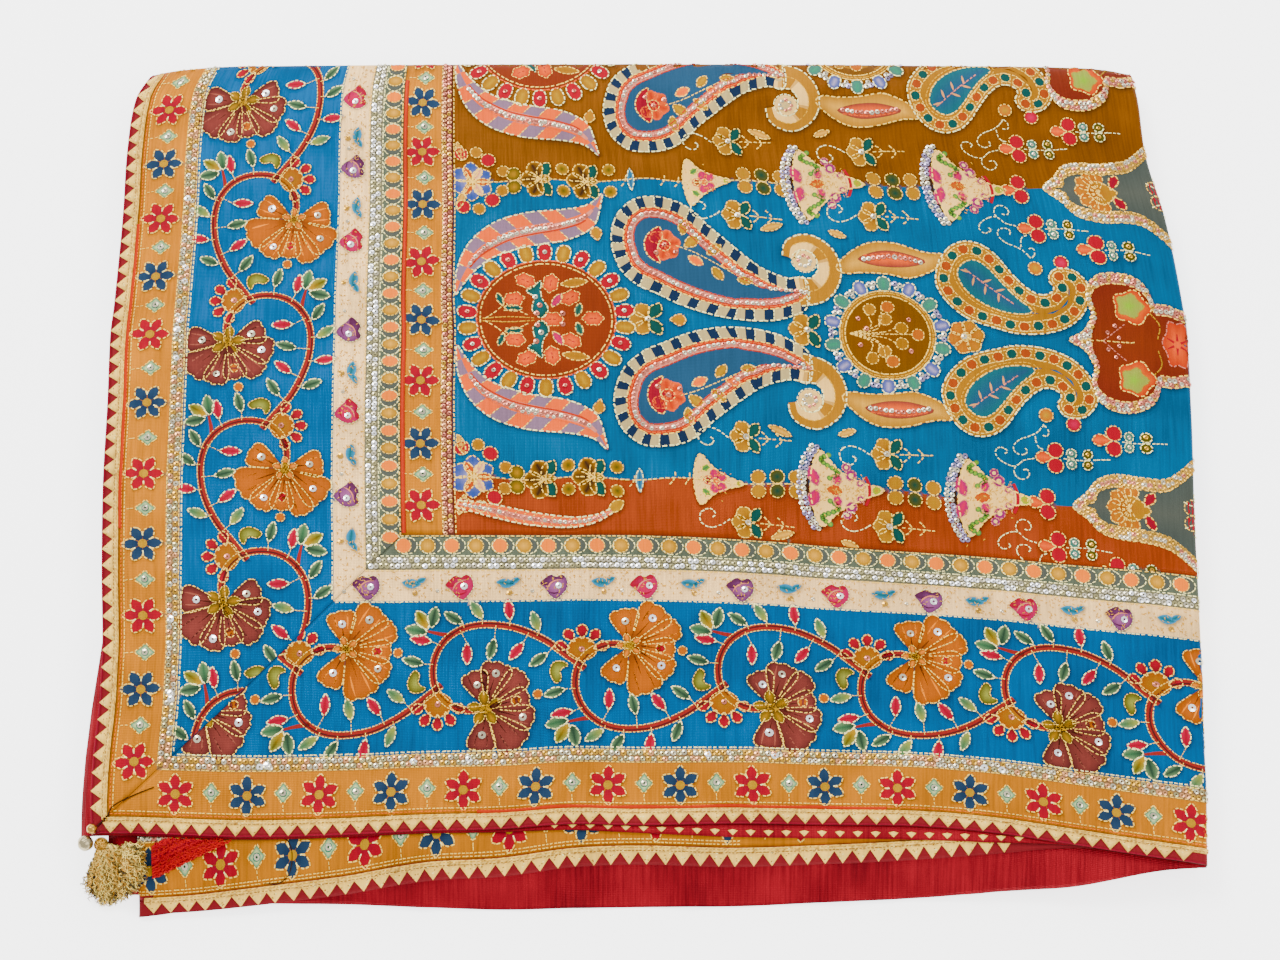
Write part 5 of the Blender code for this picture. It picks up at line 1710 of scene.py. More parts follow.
def discEdge(chart, radius, ry, petals, length, width, tints, sequined):
    # petals of two tints round a medallion
    side = ((0, 0.3), (0.5, 0.5), (0.9, 0.34))
    outline = [(a * length, -b * width) for a, b in side] + [(length, 0)]
    outline = smoothLine(outline + [(a * length, b * width) for a, b in side[::-1]], closed=True, step=2.4)
    spine = ((length * 0.3, 0), (length * 0.7, 0))
    for k in range(petals):
        turn = 360 / petals * (k + 0.5)
        place = moved(chart, radius * math.cos(math.radians(turn)), ry * math.sin(math.radians(turn)), turn)
        softShade(place, outline)
        fillShape(bloom, place, outline, *tints[k % 2], spine=spine, soft=2.6)
        edgeStitch(fieldThread, place, outline, "stitchPale", 0.85)
        if sequined and k % 2 == 0:
            sequinsAt(foil, place, (length * 0.45, 0), 1.6, ("rose", "silver"))


def peachFlower(chart, a, b, turn):
    outline = roundOutline(6.8, 5.2, 24, 6, 0.13)
    place = moved(chart, a, b, turn)
    fillShape(detail, place, outline, "piping", "coral", soft=0.5)
    edgeStitch(fieldThread, place, outline, scale=0.62)
    stitch(fieldThread, place, ((-3, 0), (3, 0)), "red", scale=0.6)


def bigMedallion(chart):
    discEdge(chart, 46.5, 44.5, 26, 13.0, 9.8, (("red", "red"), ("mustard", "yellow")), True)
    fillShape(bloom, chart, roundOutline(46, 44, 72), "disc", "rust", soft=2)
    edgeStitch(fieldThread, chart, roundOutline(46, 44, 90), "coral", gap=0.6)
    edgeStitch(fieldThread, chart, roundOutline(43.6, 41.6, 90), scale=0.9)
    for side in (1, -1):
        half = moved(chart, 0, 0, flip=side)
        stitch(fieldThread, half, ((-42, 0.9), (-25, 1.9), (-8, 0.9)), "laceGold", scale=0.8, gap=0.4)
        for line in (((-41, 0.5), (-33, 6), (-27, 12)), ((-12, 3), (-20, 7), (-28, 6.5))):
            stitch(fieldThread, half, line, scale=0.8)
        fieldLeaf(detail, half, -28, 10, 112, 11, 4.2, "teal", "darkGreen")
        fieldLeaf(detail, half, -28, 9, 355, 13, 4.8, "teal", "darkGreen")
        wing = smoothLine(wingOutline, closed=True, step=2.2)
        fillShape(detail, half, wing, "darkGreen", "teal", soft=0.5)
        edgeStitch(fieldThread, half, wing, "stitchPale", 0.75)
        for a, b, turn in ((-21, 15, 10), (-13, 29, 155), (3.8, 27, 80), (16.5, 16, 30)):
            peachFlower(half, a, b, turn)
        for row in ((4, 9, 55, 13, 5.4, "magenta", "pink"), (10, 26, 8, 19, 6.6, "tan", "rimGold"),
                    (20, 2, 72, 11, 5, "greyGreen", "darkGreen")):
            fieldLeaf(detail, half, *row)
        sequinsAt(foil, half, [(-6.6, 16.5), (-5.8, 4.5), (11, 4.0), (-3.5, 10)], 1.9, ("silver", "rose"))
    peachFlower(chart, 4, 0, 0)
    peachFlower(chart, 31, 0.5, 0)


def smallMedallion(chart):
    petals = 14
    discEdge(chart, 32, 32, petals, 10.5, 9.0, (("periwinkle", "lilac"), ("greyGreen", "green")), False)
    for k in range(petals):
        turn = math.radians(360 / petals * k)
        pair = [(37.5 * math.cos(turn + d), 37.5 * math.sin(turn + d)) for d in (-0.045, 0.045)]
        sequinsAt(foil, chart, pair, 1.9, ("silver", "lilac"))
        sequinsAt(foil, chart, [(34.6 * math.cos(turn), 34.6 * math.sin(turn))], 1.7, "silver")
    fillShape(bloom, chart, roundOutline(31.5, 31.5, 60), "rimGold")
    fillShape(detail, chart, roundOutline(28.5, 28.5, 54), "smallDisc", "brown")
    for radius, tint in ((31.8, "stitchGold"), (30.2, "laceGold"), (28.2, "stitchGold")):
        edgeStitch(fieldThread, chart, roundOutline(radius, radius, 72), tint, 0.85, 0.5)
    for a, b, name in ((1, 20, "orange"), (20, 1, "orange"), (3, -19, "orange"), (-11, 18, "tan"),
                       (-1, 11, "tan"), (9, 5, "rimGold"), (9, -6, "rimGold"), (-2, -12, "tan"),
                       (-10, -17, "rimGold")):
        stitch(fieldThread, chart, ((-25, 0), (a * 0.4 - 6, b * 0.35), (a - 4, b)), scale=0.7)
        dotAt(spot, chart, a, b, 4.0, name, "orange" if name == "orange" else "rimGold", fieldThread)
    sequinsAt(foil, chart, [(-19, 11), (-18, -8), (-14, 4), (14, 12), (15, -11)], 1.7, "rose")


def ogee(chart):
    line = mirrored(ogeeOutline)
    spine = ((424, 0), (444, 0), (490, 0))
    inner = inset(line, spine, 7.5)
    fillRing(bloom, chart, line, inner, colour["maroon"] * 0.5 + colour["rose"] * 0.5)
    softShade(chart, line, 1.3)
    fillShape(bloom, chart, inner, "ogee", "disc", spine=spine)
    for width, radius in ((2.0, 1.5), (5.0, 1.7)):
        row = inset(line, spine, width)
        sequinRow(foil, chart, row, radius, ("rose", "silver", "goldFoil"), 3.3, even=True, closed=True)
    edgeStitch(fieldThread, chart, line)
    edgeStitch(fieldThread, chart, inner)
    for side in (1, -1):
        half = moved(chart, 0, 0, flip=side)
        place = moved(half, 451, 25)
        inside = moved(place, -1, 1)
        fillShape(detail, place, roundOutline(11.5, 11.5, 30, 5, 0.12), "piping", "peach")
        fillShape(spot, inside, roundOutline(8.2, 8.2, 25, 5, 0.16), "paleOlive", "lime", soft=1.6)
        stitch(fieldThread, place, roundOutline(11.5, 11.5, 30, 5, 0.12), closed=True, scale=0.8)
        stitch(fieldThread, inside, roundOutline(8, 8, 25, 5, 0.14), "yellow", closed=True, scale=0.7)
        stitch(fieldThread, half, ((430, 0), (438, 7), (446, 13)), "rose", scale=0.7)
        stitch(fieldThread, half, ((462, 22), (468, 14), (466, 4)), "yellow", scale=0.9, gap=0.4)
        sequinsAt(foil, half, [(433, 6), (438, 11), (441, 3)], 1.5, "rose")
    place, outline = moved(chart, 479, 2), roundOutline(9, 16, 30, 6, 0.12)
    fillShape(detail, place, outline, "piping", "coral")
    for turn in (30, 90, 150, 210, 270, 330):
        ribbon(spot, moved(place, 0, 0, turn), ((2.5, 0), (7.5, 0)), (1.6, 0.5), "red")
    stitch(fieldThread, place, outline, "rose", closed=True, scale=0.8)
    stitch(fieldThread, chart, ((412, 0), (430, 0), (452, 0)), scale=0.8)


def centreMotifs(chart):
    bigMedallion(moved(chart, 62, 0))
    smallMedallion(moved(chart, 288, -1))
    ogee(moved(chart, 0, 2))
    for a in (130, 235):
        place = moved(chart, a, 0)
        leafSpray(bloom, place, 1, 0, (62, -62), 13.5, 8, "darkGreen", "dotGreen")
        leafSpray(bloom, place, 0, 0, (180, 122, 238), 13, 11, "dotOchre", "tan", belly=0.62, root="brown")
        sequinsAt(foil, place, (0, 0), 2.0, "silver")
    fieldLeaf(bloom, chart, 143, 0, 0, 12, 9, "ochre", "dotOchre", belly=0.62)
    place = moved(chart, 340, 0)
    for k in range(6):
        name = "orange" if k in (2, 3, 4) else "mustard"
        fieldLeaf(bloom, place, 0, 0, 60 * k + 12, 12.5, 10.5, name, "ochre", belly=0.66, root="deepOrange")
    dotAt(detail, place, 0, 0, 3.2, "yellow", "stitchGold", fieldThread)
    sequinsAt(foil, place, (-1, 0), 2.0, "silver")


def fullFan(place):
    ribbon(bloom, place, np.array(fanArc) - (1.0, 0), 2.0, "darkLine")
    for aside, tints in ((3.0, ("silver", "lilac")), (6.4, ("silver", "lilac", "silver"))):
        sequinRow(foil, place, np.array(fanArc) - (aside, 0), 1.8, tints, 3.5)
    ribbon(detail, place, ((-11.5, 10), (-9, 4), (-9, -4), (-11.5, -10)), 2.0, "red")
    stitch(fieldThread, place, ((-13.5, 10), (-11.5, 4), (-11.5, -4), (-13.5, -10)), "rose", scale=0.7)
    for side in (1, -1):
        fieldLeaf(detail, place, -43, side * 1.0, side * 112, 14, 8, "magenta", "pink", "rose")
        fieldLeaf(detail, place, -31, side * 3.0, side * 78, 9, 6, "magenta", "pink", "rose")
        for a, b, size in ((-21, 11, 3.6), (-24, 16.5, 2.8), (-15, 5.5, 2.4)):
            dotAt(detail, place, a, side * b, size, "magenta", "purple", fieldThread, "rose")
            dotAt(spot, place, a, side * b, size * 0.45, "fanCream")
        for t in np.linspace(0, 1, 12):
            dotAt(detail, place, -35 + 5.5 * math.sin(t * 6.2), side * (8 + 16 * t), 1.9, "leafGreen", "lime")


def smallFan(place):
    leafSpray(detail, place, -26, 0, (45, 100, 180, 260, 315), 13, 9.5, "magenta", "pink", "coral", belly=0.6)
    for side in (1, -1):
        fieldLeaf(detail, place, -40, side * 9, side * 40, 11, 7, "lime", "leafGreen")
    dotAt(spot, place, -26, 0, 3.4, "orange", "yellow", fieldThread)


def fan(chart, size=1.0, full=True):
    # flared piece of cream silk, its point at the origin, opening to the left
    place = moved(chart, 0, 0, size=size)
    outline = smoothLine(fanOutline, closed=True, step=2.8)
    softShade(place, outline, 1.3 / size)
    fillShape(bloom, place, outline, "fanCream", spine=((-8, 0), (-38, 0)))
    edgeStitch(fieldThread, place, outline)
    (fullFan if full else smallFan)(place)
    fieldLeaf(detail, place, -38, 0, 0, 12 if full else 8, 8, "piping", "orange", belly=0.55)
    dotAt(detail, place, -4, 0, 3.0, "lime", "yellow", thread=fieldThread)
    count = fanFlecks[0 if full else 1]
    a, b = dice.uniform(-44, -12, count), dice.normal(0, 1, count)
    flecks(fieldThread, place, a, b * (2 - a * 0.22), dice.uniform(0, math.pi, count))


def greyZone(chart):
    line = mirrored(greyOutline)
    spine = ((16, 0), (40, 0), (92, 0))
    inner = inset(line, spine, 8.0)
    fillRing(bloom, chart, line, inner, colour["lightTan"] * 0.6 + colour["silver"] * 0.25)
    fillShape(bloom, chart, inner, "greyZone", "grey", spine=spine)
    for width, tints in ((1.6, ("goldFoil", "silver")), (4.4, ("silver", "goldFoil", "rose")),
                         (7.0, ("goldFoil",))):
        sequinRow(foil, chart, inset(line, spine, width), 1.5, tints, 3.1, even=True, closed=True)
    edgeStitch(fieldThread, chart, line)
    edgeStitch(fieldThread, chart, inner)
    place = moved(chart, 36, 0)
    leafSpray(detail, place, 2, 0, (85, 275, 112, 248, 145, 215, 180), 16.5, 10.0, "orange", "ochre",
              belly=0.68, root="brown")
    fieldLeaf(spot, place, -6, 0, 0, 21, 17, "dotOchre", "tan", belly=0.4, root="deepOrange")
    for side in (1, -1):
        fieldLeaf(detail, chart, 47, side * 2, side * 62, 12, 6, "red", "crimson", belly=0.6)
        curl(moved(chart, 0, 0, flip=side), 72, 9, 180, 0.8)
    berries(chart, 82, 0, tail=False, turn=180)


def blueFlower(place):
    # round blue flower with orange and red drops
    leafSpray(bloom, place, 0, 0, (90, 150, 30, 210, 330, 270), 15.5, 11, "periwinkle", "royal", belly=0.6,
              root="lilac")
    for turn, *tints in ((120, "orange", "piping"), (60, "cream", "rose"), (0, "orange", "piping"),
                         (240, "orange", "piping"), (300, "cream", "rose")):
        fieldLeaf(detail, place, 1, 0, turn, 13, 5.6, *tints)
    dotAt(spot, place, 0, 0, 3.4, "yellow", "orange", fieldThread)
    fieldDots(bloom, place, ((-7, 21), (12, 17), (14, -14), (-6, -20)), 4.8, "red", "red")
    fieldDots(bloom, place, ((4, 23), (22, 8), (21, -7), (5, -21)), 4.0, "tan", "rimGold")


def drawPanelLine(at):
    def place(a, b):
        return (232 + a) * mm, (panelLine(232 + a, at) + b) * mm
    chart = chartOf(place, clipField)
    stitch(fieldThread, chart, ((2, 0), (150, 0), (232, 0)), scale=0.9)
    fan(moved(chart, 191, 0), 0.68, full=False)
    fan(moved(chart, 283, 0))
    fan(moved(chart, 380, 0))
    for a in (201, 291):
        for step, *tints in ((0, "tan", "dotOchre"), (12.5, "olive", "darkGreen"), (25, "tan", "dotOchre")):
            fieldDots(bloom, chart, ((a + step, 5), (a + step, -5)), 4.6, *tints)
    berries(chart, 386, 0, tail=False)
    greyZone(moved(chart, 407, 0))
    blueFlower(moved(chart, 13, 0))
    fieldDots(bloom, chart, ((42, 5), (42, -5)), 4.8, "olive", "dotOchre")
    for a in (60, 92):
        sprig = moved(chart, a, 0)
        leafSpray(bloom, sprig, -1, 0, (58, 302), 15.5, 9.5, "darkGreen", "dotGreen")
        leafSpray(detail, sprig, 1, 0, (180, 118, 242), 15, 12.5, "mustard", "darkLine", belly=0.62,
                  root="darkLine")
        fieldLeaf(spot, sprig, -3, 0, 0, 11, 6.5, "tan", "olive")
        fieldDots(bloom, chart, ((a + 16, 8.5), (a + 16, -8.5)), 4.2, "dotOchre", "olive")
    for a in (116, 123, 142, 152, 161):
        if a == 123:
            fieldLeaf(bloom, chart, a, -9, 90, 18, 5, "sky", "steel", "stitchPale")
        else:
            stitch(fieldThread, chart, ((a, -5), (a + 3, -1), (a + 4, 4)), scale=0.9)


def drawField():
    blueCentre, brownCentre, rustCentre = 353, 574, 127
    drawHalf(fieldChart(blueCentre, 1))
    drawHalf(fieldChart(blueCentre, -1))
    centreMotifs(fieldChart(blueCentre, 1))
    drawHalf(fieldChart(brownCentre, -1))
    centreMotifs(fieldChart(brownCentre, -1))
    drawHalf(fieldChart(rustCentre, 1), front=True)
    for at in panelLines:
        drawPanelLine(at)


drawField()
print("field motifs drawn")

# the third layer's flower band, seen in front of the top layer
thirdInks = {
    "bloom": Batch("third_print_motifs", "third", motif, "printed_silk", 0.2),
    "detail": Batch("third_print_details", "third", motif, "printed_silk", 0.28),
    "thread": Batch("third_stitches", "third", finishes["zari"], "gold_thread", 0.3),
    "foil": Batch("third_sequins", "third", finishes["sequin"], "metallic_lace", 0.42),
}


def drawThird():
    foilInk, thread = thirdInks["foil"], thirdInks["thread"]
    flowerBand(thirdInks, thirdChart, flowerStops["third"], 26, ("navy", "red"))
    tints = ("silver", "rose", "goldFoil")
    sequinRow(foilInk, thirdChart, ((30, 45.5), (300, 45.5)), 1.75, tints, 3.1, 2, 3.6)
    for depth in (12.6, 14.4, 41.5):
        stitch(thread, thirdChart, ((20, depth), (420, depth)), scale=0.62)


drawThird()

# metallic laces: a woven strip whose teeth point to the cut edge
laceSetup = {"pitch": 11.5, "tip": 0.4, "root": 7.2, "back": 10.7, "rise": 0.7, "column": 1.3}


def slab(ink, chart, outline, rise, tint, top=None):
    # thin raised plate with walls
    outline = np.asarray(outline, float)
    n = len(outline)
    u, v, inside = laid(chart, np.concatenate([outline, outline, outline.mean(axis=0)[None]]))
    if not inside.any():
        return
    k = np.arange(n)
    walls, caps = ringFaces(n), np.stack([k + n, (k + 1) % n + n, np.full(n, 2 * n)], -1)
    if turnedUp(u, v, caps) is not caps:
        walls, caps = walls[:, ::-1], caps[:, ::-1]
    lifts = np.concatenate([np.zeros(n), np.full(n, rise), [rise * 1.25]]) * mm
    tints = np.concatenate([np.broadcast_to(tint, (2 * n, 3)), [tint if top is None else top]])
    ink.add(u, v, lifts, tints, quads=walls, tris=caps)


def wovenStrip(ink, chart, first, last, rise):
    # mottled strip, lighter and darker stitch by stitch
    root, back = laceSetup["root"], laceSetup["back"]
    depths = np.array([root - 0.2, root + 0.2, 8.2, 9.0, 9.8, back - 0.3, back])
    heights = np.array([0.0, 1.0, 1.1, 1.3, 1.1, 1.0, 0.0])
    a, b = np.meshgrid(np.arange(first, last, laceSetup["column"]), depths)
    u, v, inside = laid(chart, np.stack([a.ravel(), b.ravel()], -1))
    quads, _ = gridFaces(*a.shape)
    quads = quads[inside[quads].all(axis=1)]
    fleck = dice.uniform(0, 1, (len(u), 1)) ** 2.4
    tints = colour["lace"] + (colour["rimGold"] - colour["lace"]) * fleck
    tints = tints * dice.uniform(0.84, 1.1, (len(u), 1))
    lifts = np.repeat(heights, a.shape[1]) * rise * mm
    ink.add(u, v, lifts, tints, quads=turnedUp(u, v, quads))


def makeLace(name, layer, chart, first, last, thread):
    ink = Batch(name, layer, finishes["lace"], "metallic_lace", 0.2)
    rise, half = laceSetup["rise"], laceSetup["pitch"] / 2
    root, tip = laceSetup["root"] + 0.1, laceSetup["tip"]
    wovenStrip(ink, chart, first, last, rise)
    for at in np.arange(first + half, last - half, laceSetup["pitch"]):
        lean = float(dice.normal(0, 0.35))
        waist = (root + tip) / 2
        outline = ((at - half, root), (at - half * 0.5 + lean * 0.5, waist), (at + lean, tip),
                   (at + half * 0.5 + lean * 0.5, waist), (at + half, root))
        fleck = float(dice.uniform(0, 0.35))
        edge = colour["lace"] + (colour["laceGold"] - colour["lace"]) * fleck
        slab(ink, chart, outline, rise * 0.9, edge, colour["lace"])
        for k in range(5):
            b = dice.uniform(tip + 2, root + 3)
            a = at + dice.uniform(-1, 1) * half * 0.8 * min(1.0, (b - tip) / (root - tip))
            tint = "rimGold" if k % 2 == 0 else "stitchPale"
            stitch(thread, chart, ((a - 0.6, b), (a + 0.7, b + 0.3)), tint, scale=0.5)
    for depth, tint in ((laceSetup["back"] - 0.9, "laceGold"), (laceSetup["root"] + 1.0, "rimGold")):
        stitch(thread, chart, ((first, depth), (last, depth)), tint, scale=0.6)
    return ink


laceThread = Batch("lace_stitches", "top", finishes["zari"], "gold_thread", 0.95)
thirdLaceThread = Batch("third_lace_stitches", "third", finishes["zari"], "gold_thread", 0.95)
piping = Batch("edge_piping", "top", finishes["binding"], "red_binding", 0.1)
endLace = makeLace("end_lace", "top", endChart, endZero - 551, endZero - 8, laceThread)
sideLace = makeLace("side_lace", "top", sideChart, 7, 719, laceThread)
thirdLace = makeLace("third_lace_trim", "third", thirdChart, 32, 600, thirdLaceThread)
# an orange piping beside the sequin strips, and a dark red one along the cut edge
line = [(u, 11.6 + 0.35 * math.sin(u * 0.11)) for u in range(250, 525, 12)]
cordLine(piping, sideChart, line, 2.6, 0.8, "piping")
line = [(endZero - v, 11.5 + 0.3 * math.sin(v * 0.13)) for v in range(430, 190, -12)]
cordLine(piping, endChart, line, 2.4, 0.8, "piping")
for chart, low, high in ((sideChart, 2, 718), (endChart, -30, 520)):
    cordLine(piping, chart, [(at, 0.75) for at in np.arange(low, high, 14)], 1.3, 0.7, "crimson")
    ribbon(piping, chart, [(at, 11.0) for at in np.arange(low + 9, high, 14)], 0.5, "brown")

# small teeth that show along the second layer's edge
secondChart = chartOf(lambda a, b: (a * mm, (frontEdge("second", a) + b) * mm), clipNone)
secondTips = Batch("second_lace_tips", "second", finishes["lace"], "metallic_lace", 0.1)
for at in np.arange(300, 600, laceSetup["pitch"]):
    tooth = ((at - 3.2, 3.4), (at, 0.9), (at + 3.2, 3.4), (at, 4.0))
    slab(secondTips, secondChart, tooth, 0.35, colour["lace"])


# tassels: crinkled threads laid over the corner, with a knot and two beads
tasselSetup = {
    "knot": 4.5, "small": 3.3, "large": 5.0,       # radii of the knot and the beads, mm
    "table": 1.0,                                  # lowest middle line of a strand, mm
    "wraps": 16, "knotPlace": (4.0, -5.1, -1.0), "beadSide": (-0.93, 0.0, 0.36), "redStart": 33.5,
}
# the cream strands are partly painted highlights and the dark brown ones painted shade in the gaps
goldSetup = {"count": 760, "steps": 30, "width": 0.8, "turns": (-9, -112), "reach": 38, "toEdge": 31,
             "shorter": 9, "rise": 3.3, "body": 5.6, "tints": ("tasselHighlightCream", "tasselGold", "tasselGapShadeBrown")}
redSetup = {"count": 330, "steps": 34, "width": 0.72, "slope": 0.443, "near": 5, "spread": 18.5,
            "rise": 2.2, "body": 2.8, "tints": ("thread", "crimson", "piping")}


def thirdSurface(x, y):
    u, v = np.full(x.shape, 40 * mm), np.full(x.shape, -20 * mm)
    for _ in range(6):
        middle, _ = clothFrame("third", u, v)
        u, v = u + x - middle[..., 0], v + y - middle[..., 1]
        u = np.maximum(u, readLine(alongPack, "third", v))
    return middle[..., 2]


def supportHeight(x, y, lift):
    # on the third layer, else just above the table
    fold = readLine(alongPack, "third", 0.0)
    edge = plan(fold, 0.0)[0] - 2.5 * pitch
    over = thirdSurface(np.maximum(x, edge), y) + lift
    share = smooth((x - edge + 0.017) / 0.015)
    table = tasselSetup["table"] * mm
    return table + (over - table) * share


def strandFrame(paths):
    # directions across and up from each strand
    run = unit(np.gradient(paths, axis=1))
    across = unit(np.cross(run, (0, 0, 1.0)))
    return across, np.cross(across, run)


def mixedTints(names, weights, count):
    # each strand's own mix of some tints
    return dice.dirichlet(weights, count) @ np.stack([colour[name] for name in names])


def strandMesh(name, paths, width, tints, material):
    # three-sided tubes, one for each path
    count, steps, _ = paths.shape
    across, lift = strandFrame(paths)
    taper = np.ones(steps)
    taper[0] = taper[-1] = 0.3
    radius = (width / 2 * mm * taper)[None, :, None]
    rings = [paths + (across * math.cos(turn) + lift * math.sin(turn)) * radius
             for turn in (math.radians(a) for a in (90, 210, 330))]
    points = np.stack(rings, 2).reshape(-1, 3)
    base = (np.arange(count)[:, None] * steps + np.arange(steps - 1)).ravel() * 3
    quads = np.concatenate([np.stack([base + a, base + b, base + b + 3, base + a + 3], -1)
                            for a, b in ((0, 1), (1, 2), (2, 0))])
    along = np.tile(np.repeat(np.arange(steps) / steps, 3), count)
    which = np.repeat((np.arange(count) + 0.5) / count, steps * 3)
    uv = np.stack([which, along], -1) * 0.05
    tints = np.repeat(tints, steps * 3, axis=0)
    return meshObject(name, points, quads[:, ::-1], [], material, tints, uv)


def crinkle(paths, amount, wave, seed):
    # bends each strand to and fro, more so away from its root
    rng = np.random.default_rng(seed)
    count = len(paths)
    across, lift = strandFrame(paths)
    sizes = np.cumsum(np.linalg.norm(np.diff(paths, axis=1), axis=2), axis=1)
    sizes = np.concatenate([np.zeros((count, 1)), sizes], 1)
    grow = smooth(sizes / 0.005)
    swing = 0.0
    for share, factor in ((1.0, 1.0), (0.6, 1.7), (0.5, 0.45)):
        rate = 2 * math.pi / (wave * mm) * factor * rng.uniform(0.8, 1.25, (count, 1))
        swing = swing + share * np.sin(sizes * rate + rng.uniform(0, 6.3, (count, 1)))
    rate = 2 * math.pi / (wave * 0.8 * mm) * rng.uniform(0.8, 1.25, (count, 1))
    hop = np.sin(sizes * rate + rng.uniform(0, 6.3, (count, 1)))
    bends = across * swing[..., None] + lift * (hop * 0.45)[..., None]
    return paths + bends * amount * mm * grow[..., None]


def makeGoldTassel(knot):
    count, longest, (first, last) = goldSetup["count"], goldSetup["reach"], goldSetup["turns"]
    share = dice.permutation(np.linspace(0, 1, count))
    layer = dice.uniform(0, 1, count)
    angle = np.radians(first + (last - first) * share)
    length = np.minimum(longest, goldSetup["toEdge"] / np.maximum(np.cos(angle), 0.1))
    length = length - goldSetup["shorter"] * smooth((share - 0.75) / 0.25)
    length = length * dice.uniform(0.5, 1.0, count) ** 0.45 - 1.0 * layer
    reach = 1.5 + (length[:, None] - 1.5) * np.linspace(0, 1, goldSetup["steps"])[None]
    bend = angle[:, None] + dice.normal(0, 0.05, (count, 1)) * reach / 20
    x = knot[0] + reach * mm * np.cos(bend)
    y = knot[1] + reach * mm * np.sin(bend)
    fall = smooth(reach / longest)
    height = (knot[2] - 1.2 * mm) + (1.0 * mm - (knot[2] - 1.2 * mm)) * fall
    height = np.maximum(height, supportHeight(x, y, goldSetup["rise"] * mm))
    body = np.sin(math.pi * np.clip(reach / 42, 0, 1)) ** 0.7
    height = height + layer[:, None] * goldSetup["body"] * mm * body
    paths = crinkle(np.stack([x, y, height + 0.5 * mm], -1), 0.95, 5.0, 5)
    paths[..., 2] = np.maximum(paths[..., 2], 0.7 * mm)
    # strands deep in the bunch are darker: painted shade between the strands
    tints = mixedTints(goldSetup["tints"], (0.26, 0.2, 0.15), count) * (0.25 + 0.95 * layer[:, None])
    return strandMesh("gold_tassel_threads", paths, goldSetup["width"], tints, finishes["goldThread"])


def makeRedTassel(startX):
    count, slope = redSetup["count"], redSetup["slope"]
    limit = (readLine(acrossPack, "front", 45 * mm) - pack["centre"][1] * mm) - 2.3 * mm
    y = limit - (redSetup["near"] + redSetup["spread"] * dice.permutation(np.linspace(0, 1, count))) * mm
    size = (limit - y) / slope * dice.uniform(0.7, 1.0, count)
    reach = size[:, None] * np.linspace(0, 1, redSetup["steps"])[None]
    x, y = startX + reach, y[:, None] + reach * slope
    layer = dice.uniform(0, 1, (count, 1))
    body = layer * redSetup["body"] * mm * (1 - 0.6 * reach / size.max())
    height = supportHeight(x, y, redSetup["rise"] * mm) + body
    paths = crinkle(np.stack([x, y, height], -1), 0.85, 3.4, 9)
    # strands deep in the bunch are darker: painted shade between the strands
    tints = mixedTints(redSetup["tints"], (0.6, 0.3, 0.1), count) * (0.4 + 0.75 * layer)
    return strandMesh("red_tassel_threads", paths, redSetup["width"], tints, finishes["redThread"])


def ball(name, centre, radius, material, dents=0.0):
    rows, columns = 18, 28
    rise = np.linspace(-math.pi / 2, math.pi / 2, rows)
    turn = np.linspace(0, 2 * math.pi, columns, endpoint=False)
    a, b = np.meshgrid(turn, rise)
    size = radius * mm * (1 + dents * np.sin(a * 5 + 1) * np.sin(b * 6))
    points = np.stack([size * np.cos(a) * np.cos(b), size * np.sin(a) * np.cos(b), size * np.sin(b)], -1)
    points = points.reshape(-1, 3) + centre
    uv = np.stack([a.ravel(), b.ravel()], -1) * radius * mm
    return meshObject(name, points, tubeFaces(rows, columns), [], material, colour["laceGold"], uv)


def knotWraps(knot):
    # turns of gold thread round the knot, each about its own axis
    wraps, turn = [], np.linspace(0, 2 * math.pi, 34)[:, None]
    size = (tasselSetup["knot"] - 0.3) * mm
    for _ in range(tasselSetup["wraps"]):
        lean = unit(np.array([dice.normal(0, 0.5), dice.normal(0, 0.5), 1.0]))
        first = unit(np.cross(lean, (0.3, 1, 0.2)))
        other = np.cross(lean, first)
        low = dice.uniform(-0.75, 0.75)
        wide = math.sqrt(1 - low * low)
        wraps.append(knot + size * (low * lean + wide * (np.cos(turn) * first + np.sin(turn) * other)))
    tints = mixedTints(("lace", "laceGold", "rimGold"), (1, 1, 0.7), len(wraps))
    return strandMesh("knot_wraps", np.stack(wraps), 1.1, tints, finishes["goldThread"])


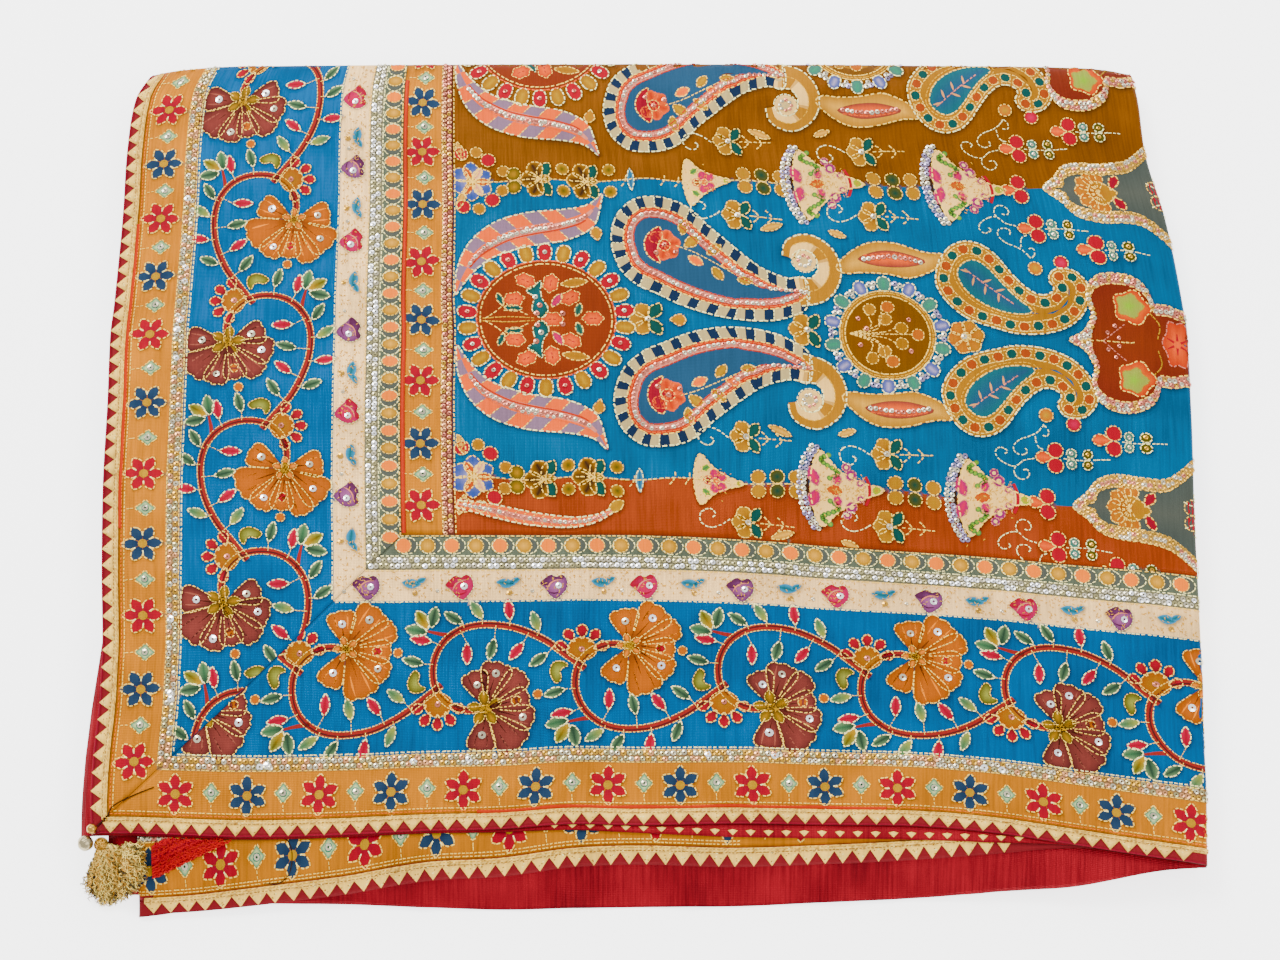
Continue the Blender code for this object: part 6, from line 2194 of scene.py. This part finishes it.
def makeTassels():
    made = {}
    radius, large = tasselSetup["small"], tasselSetup["large"]
    corner, normal = clothFrame("top", np.array([2.5 * mm]), np.array([2.5 * mm]))
    place = corner[0] + normal[0] * (0.6 + 0.8 + 0.6 + radius) * mm
    made["small_bead"] = ball("gold_bead", place, radius, finishes["goldBead"], 0.02)
    edge, _ = clothFrame("second", np.array([1 * mm]), -readLine(acrossPack, "second", np.array([0.0])))
    knot = edge[0] + np.array(tasselSetup["knotPlace"]) * mm
    place = knot + unit(np.array(tasselSetup["beadSide"])) * (tasselSetup["knot"] + large + 0.3) * mm
    made["large_bead"] = ball("silver_bead", place, large, finishes["silverBead"], 0.03)
    made["gold_tassel"] = makeGoldTassel(knot)
    made["red_tassel"] = makeRedTassel(knot[0] + tasselSetup["redStart"] * mm)
    made["knot_wraps"] = knotWraps(knot)
    core = tasselSetup["knot"] - 0.7
    made["knot_core"] = ball("knot_core", knot, core, finishes["goldThread"])
    return made


tassels = makeTassels()
openChart = chartOf(lambda a, b: (a * mm, b * mm), clipNone)
looseThreads = (       # place, width, height, tint
    (thirdInks["thread"], thirdChart, ((98, 41), (112, 41), (123, 37.5), (129.5, 29), (128, 17), (121, 11.5),
                                       (111, 12.5)), 0.55, 0.5, "darkLine"),
    (thirdInks["thread"], thirdChart, ((92, 39.5), (100, 43), (110, 46), (130, 46.5)), 0.7, 0.5, "rimGold"),
    (borderThread, openChart, ((4, 5), (11, 11), (14, 17), (26, 24), (40, 30)), 0.6, 0.7, "darkLine"),
)
for row in looseThreads:
    cordLine(*row)
print("laces and tassels made")

# what goes with what: the drawn batches become pieces, and the part's nodes that the sheets, laces and
# tassels replace are hidden
topInk = [shade, bloom, detail, spot, borderThread, fieldThread, foil]
thirdInk = list(thirdInks.values())
laces = {"top_end_lace": endLace, "top_side_lace": sideLace, "third_lace": thirdLace}
extra = [laceThread, thirdLaceThread, piping, secondTips]
pieces = {batch.name: batch.finishPiece() for batch in topInk + thirdInk + list(laces.values()) + extra}
for node, piece in sheets.items():
    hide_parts(node)
for node, batch in laces.items():
    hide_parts(node)
for node in ("small_bead", "large_bead", "gold_tassel", "red_tassel"):
    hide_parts(node)
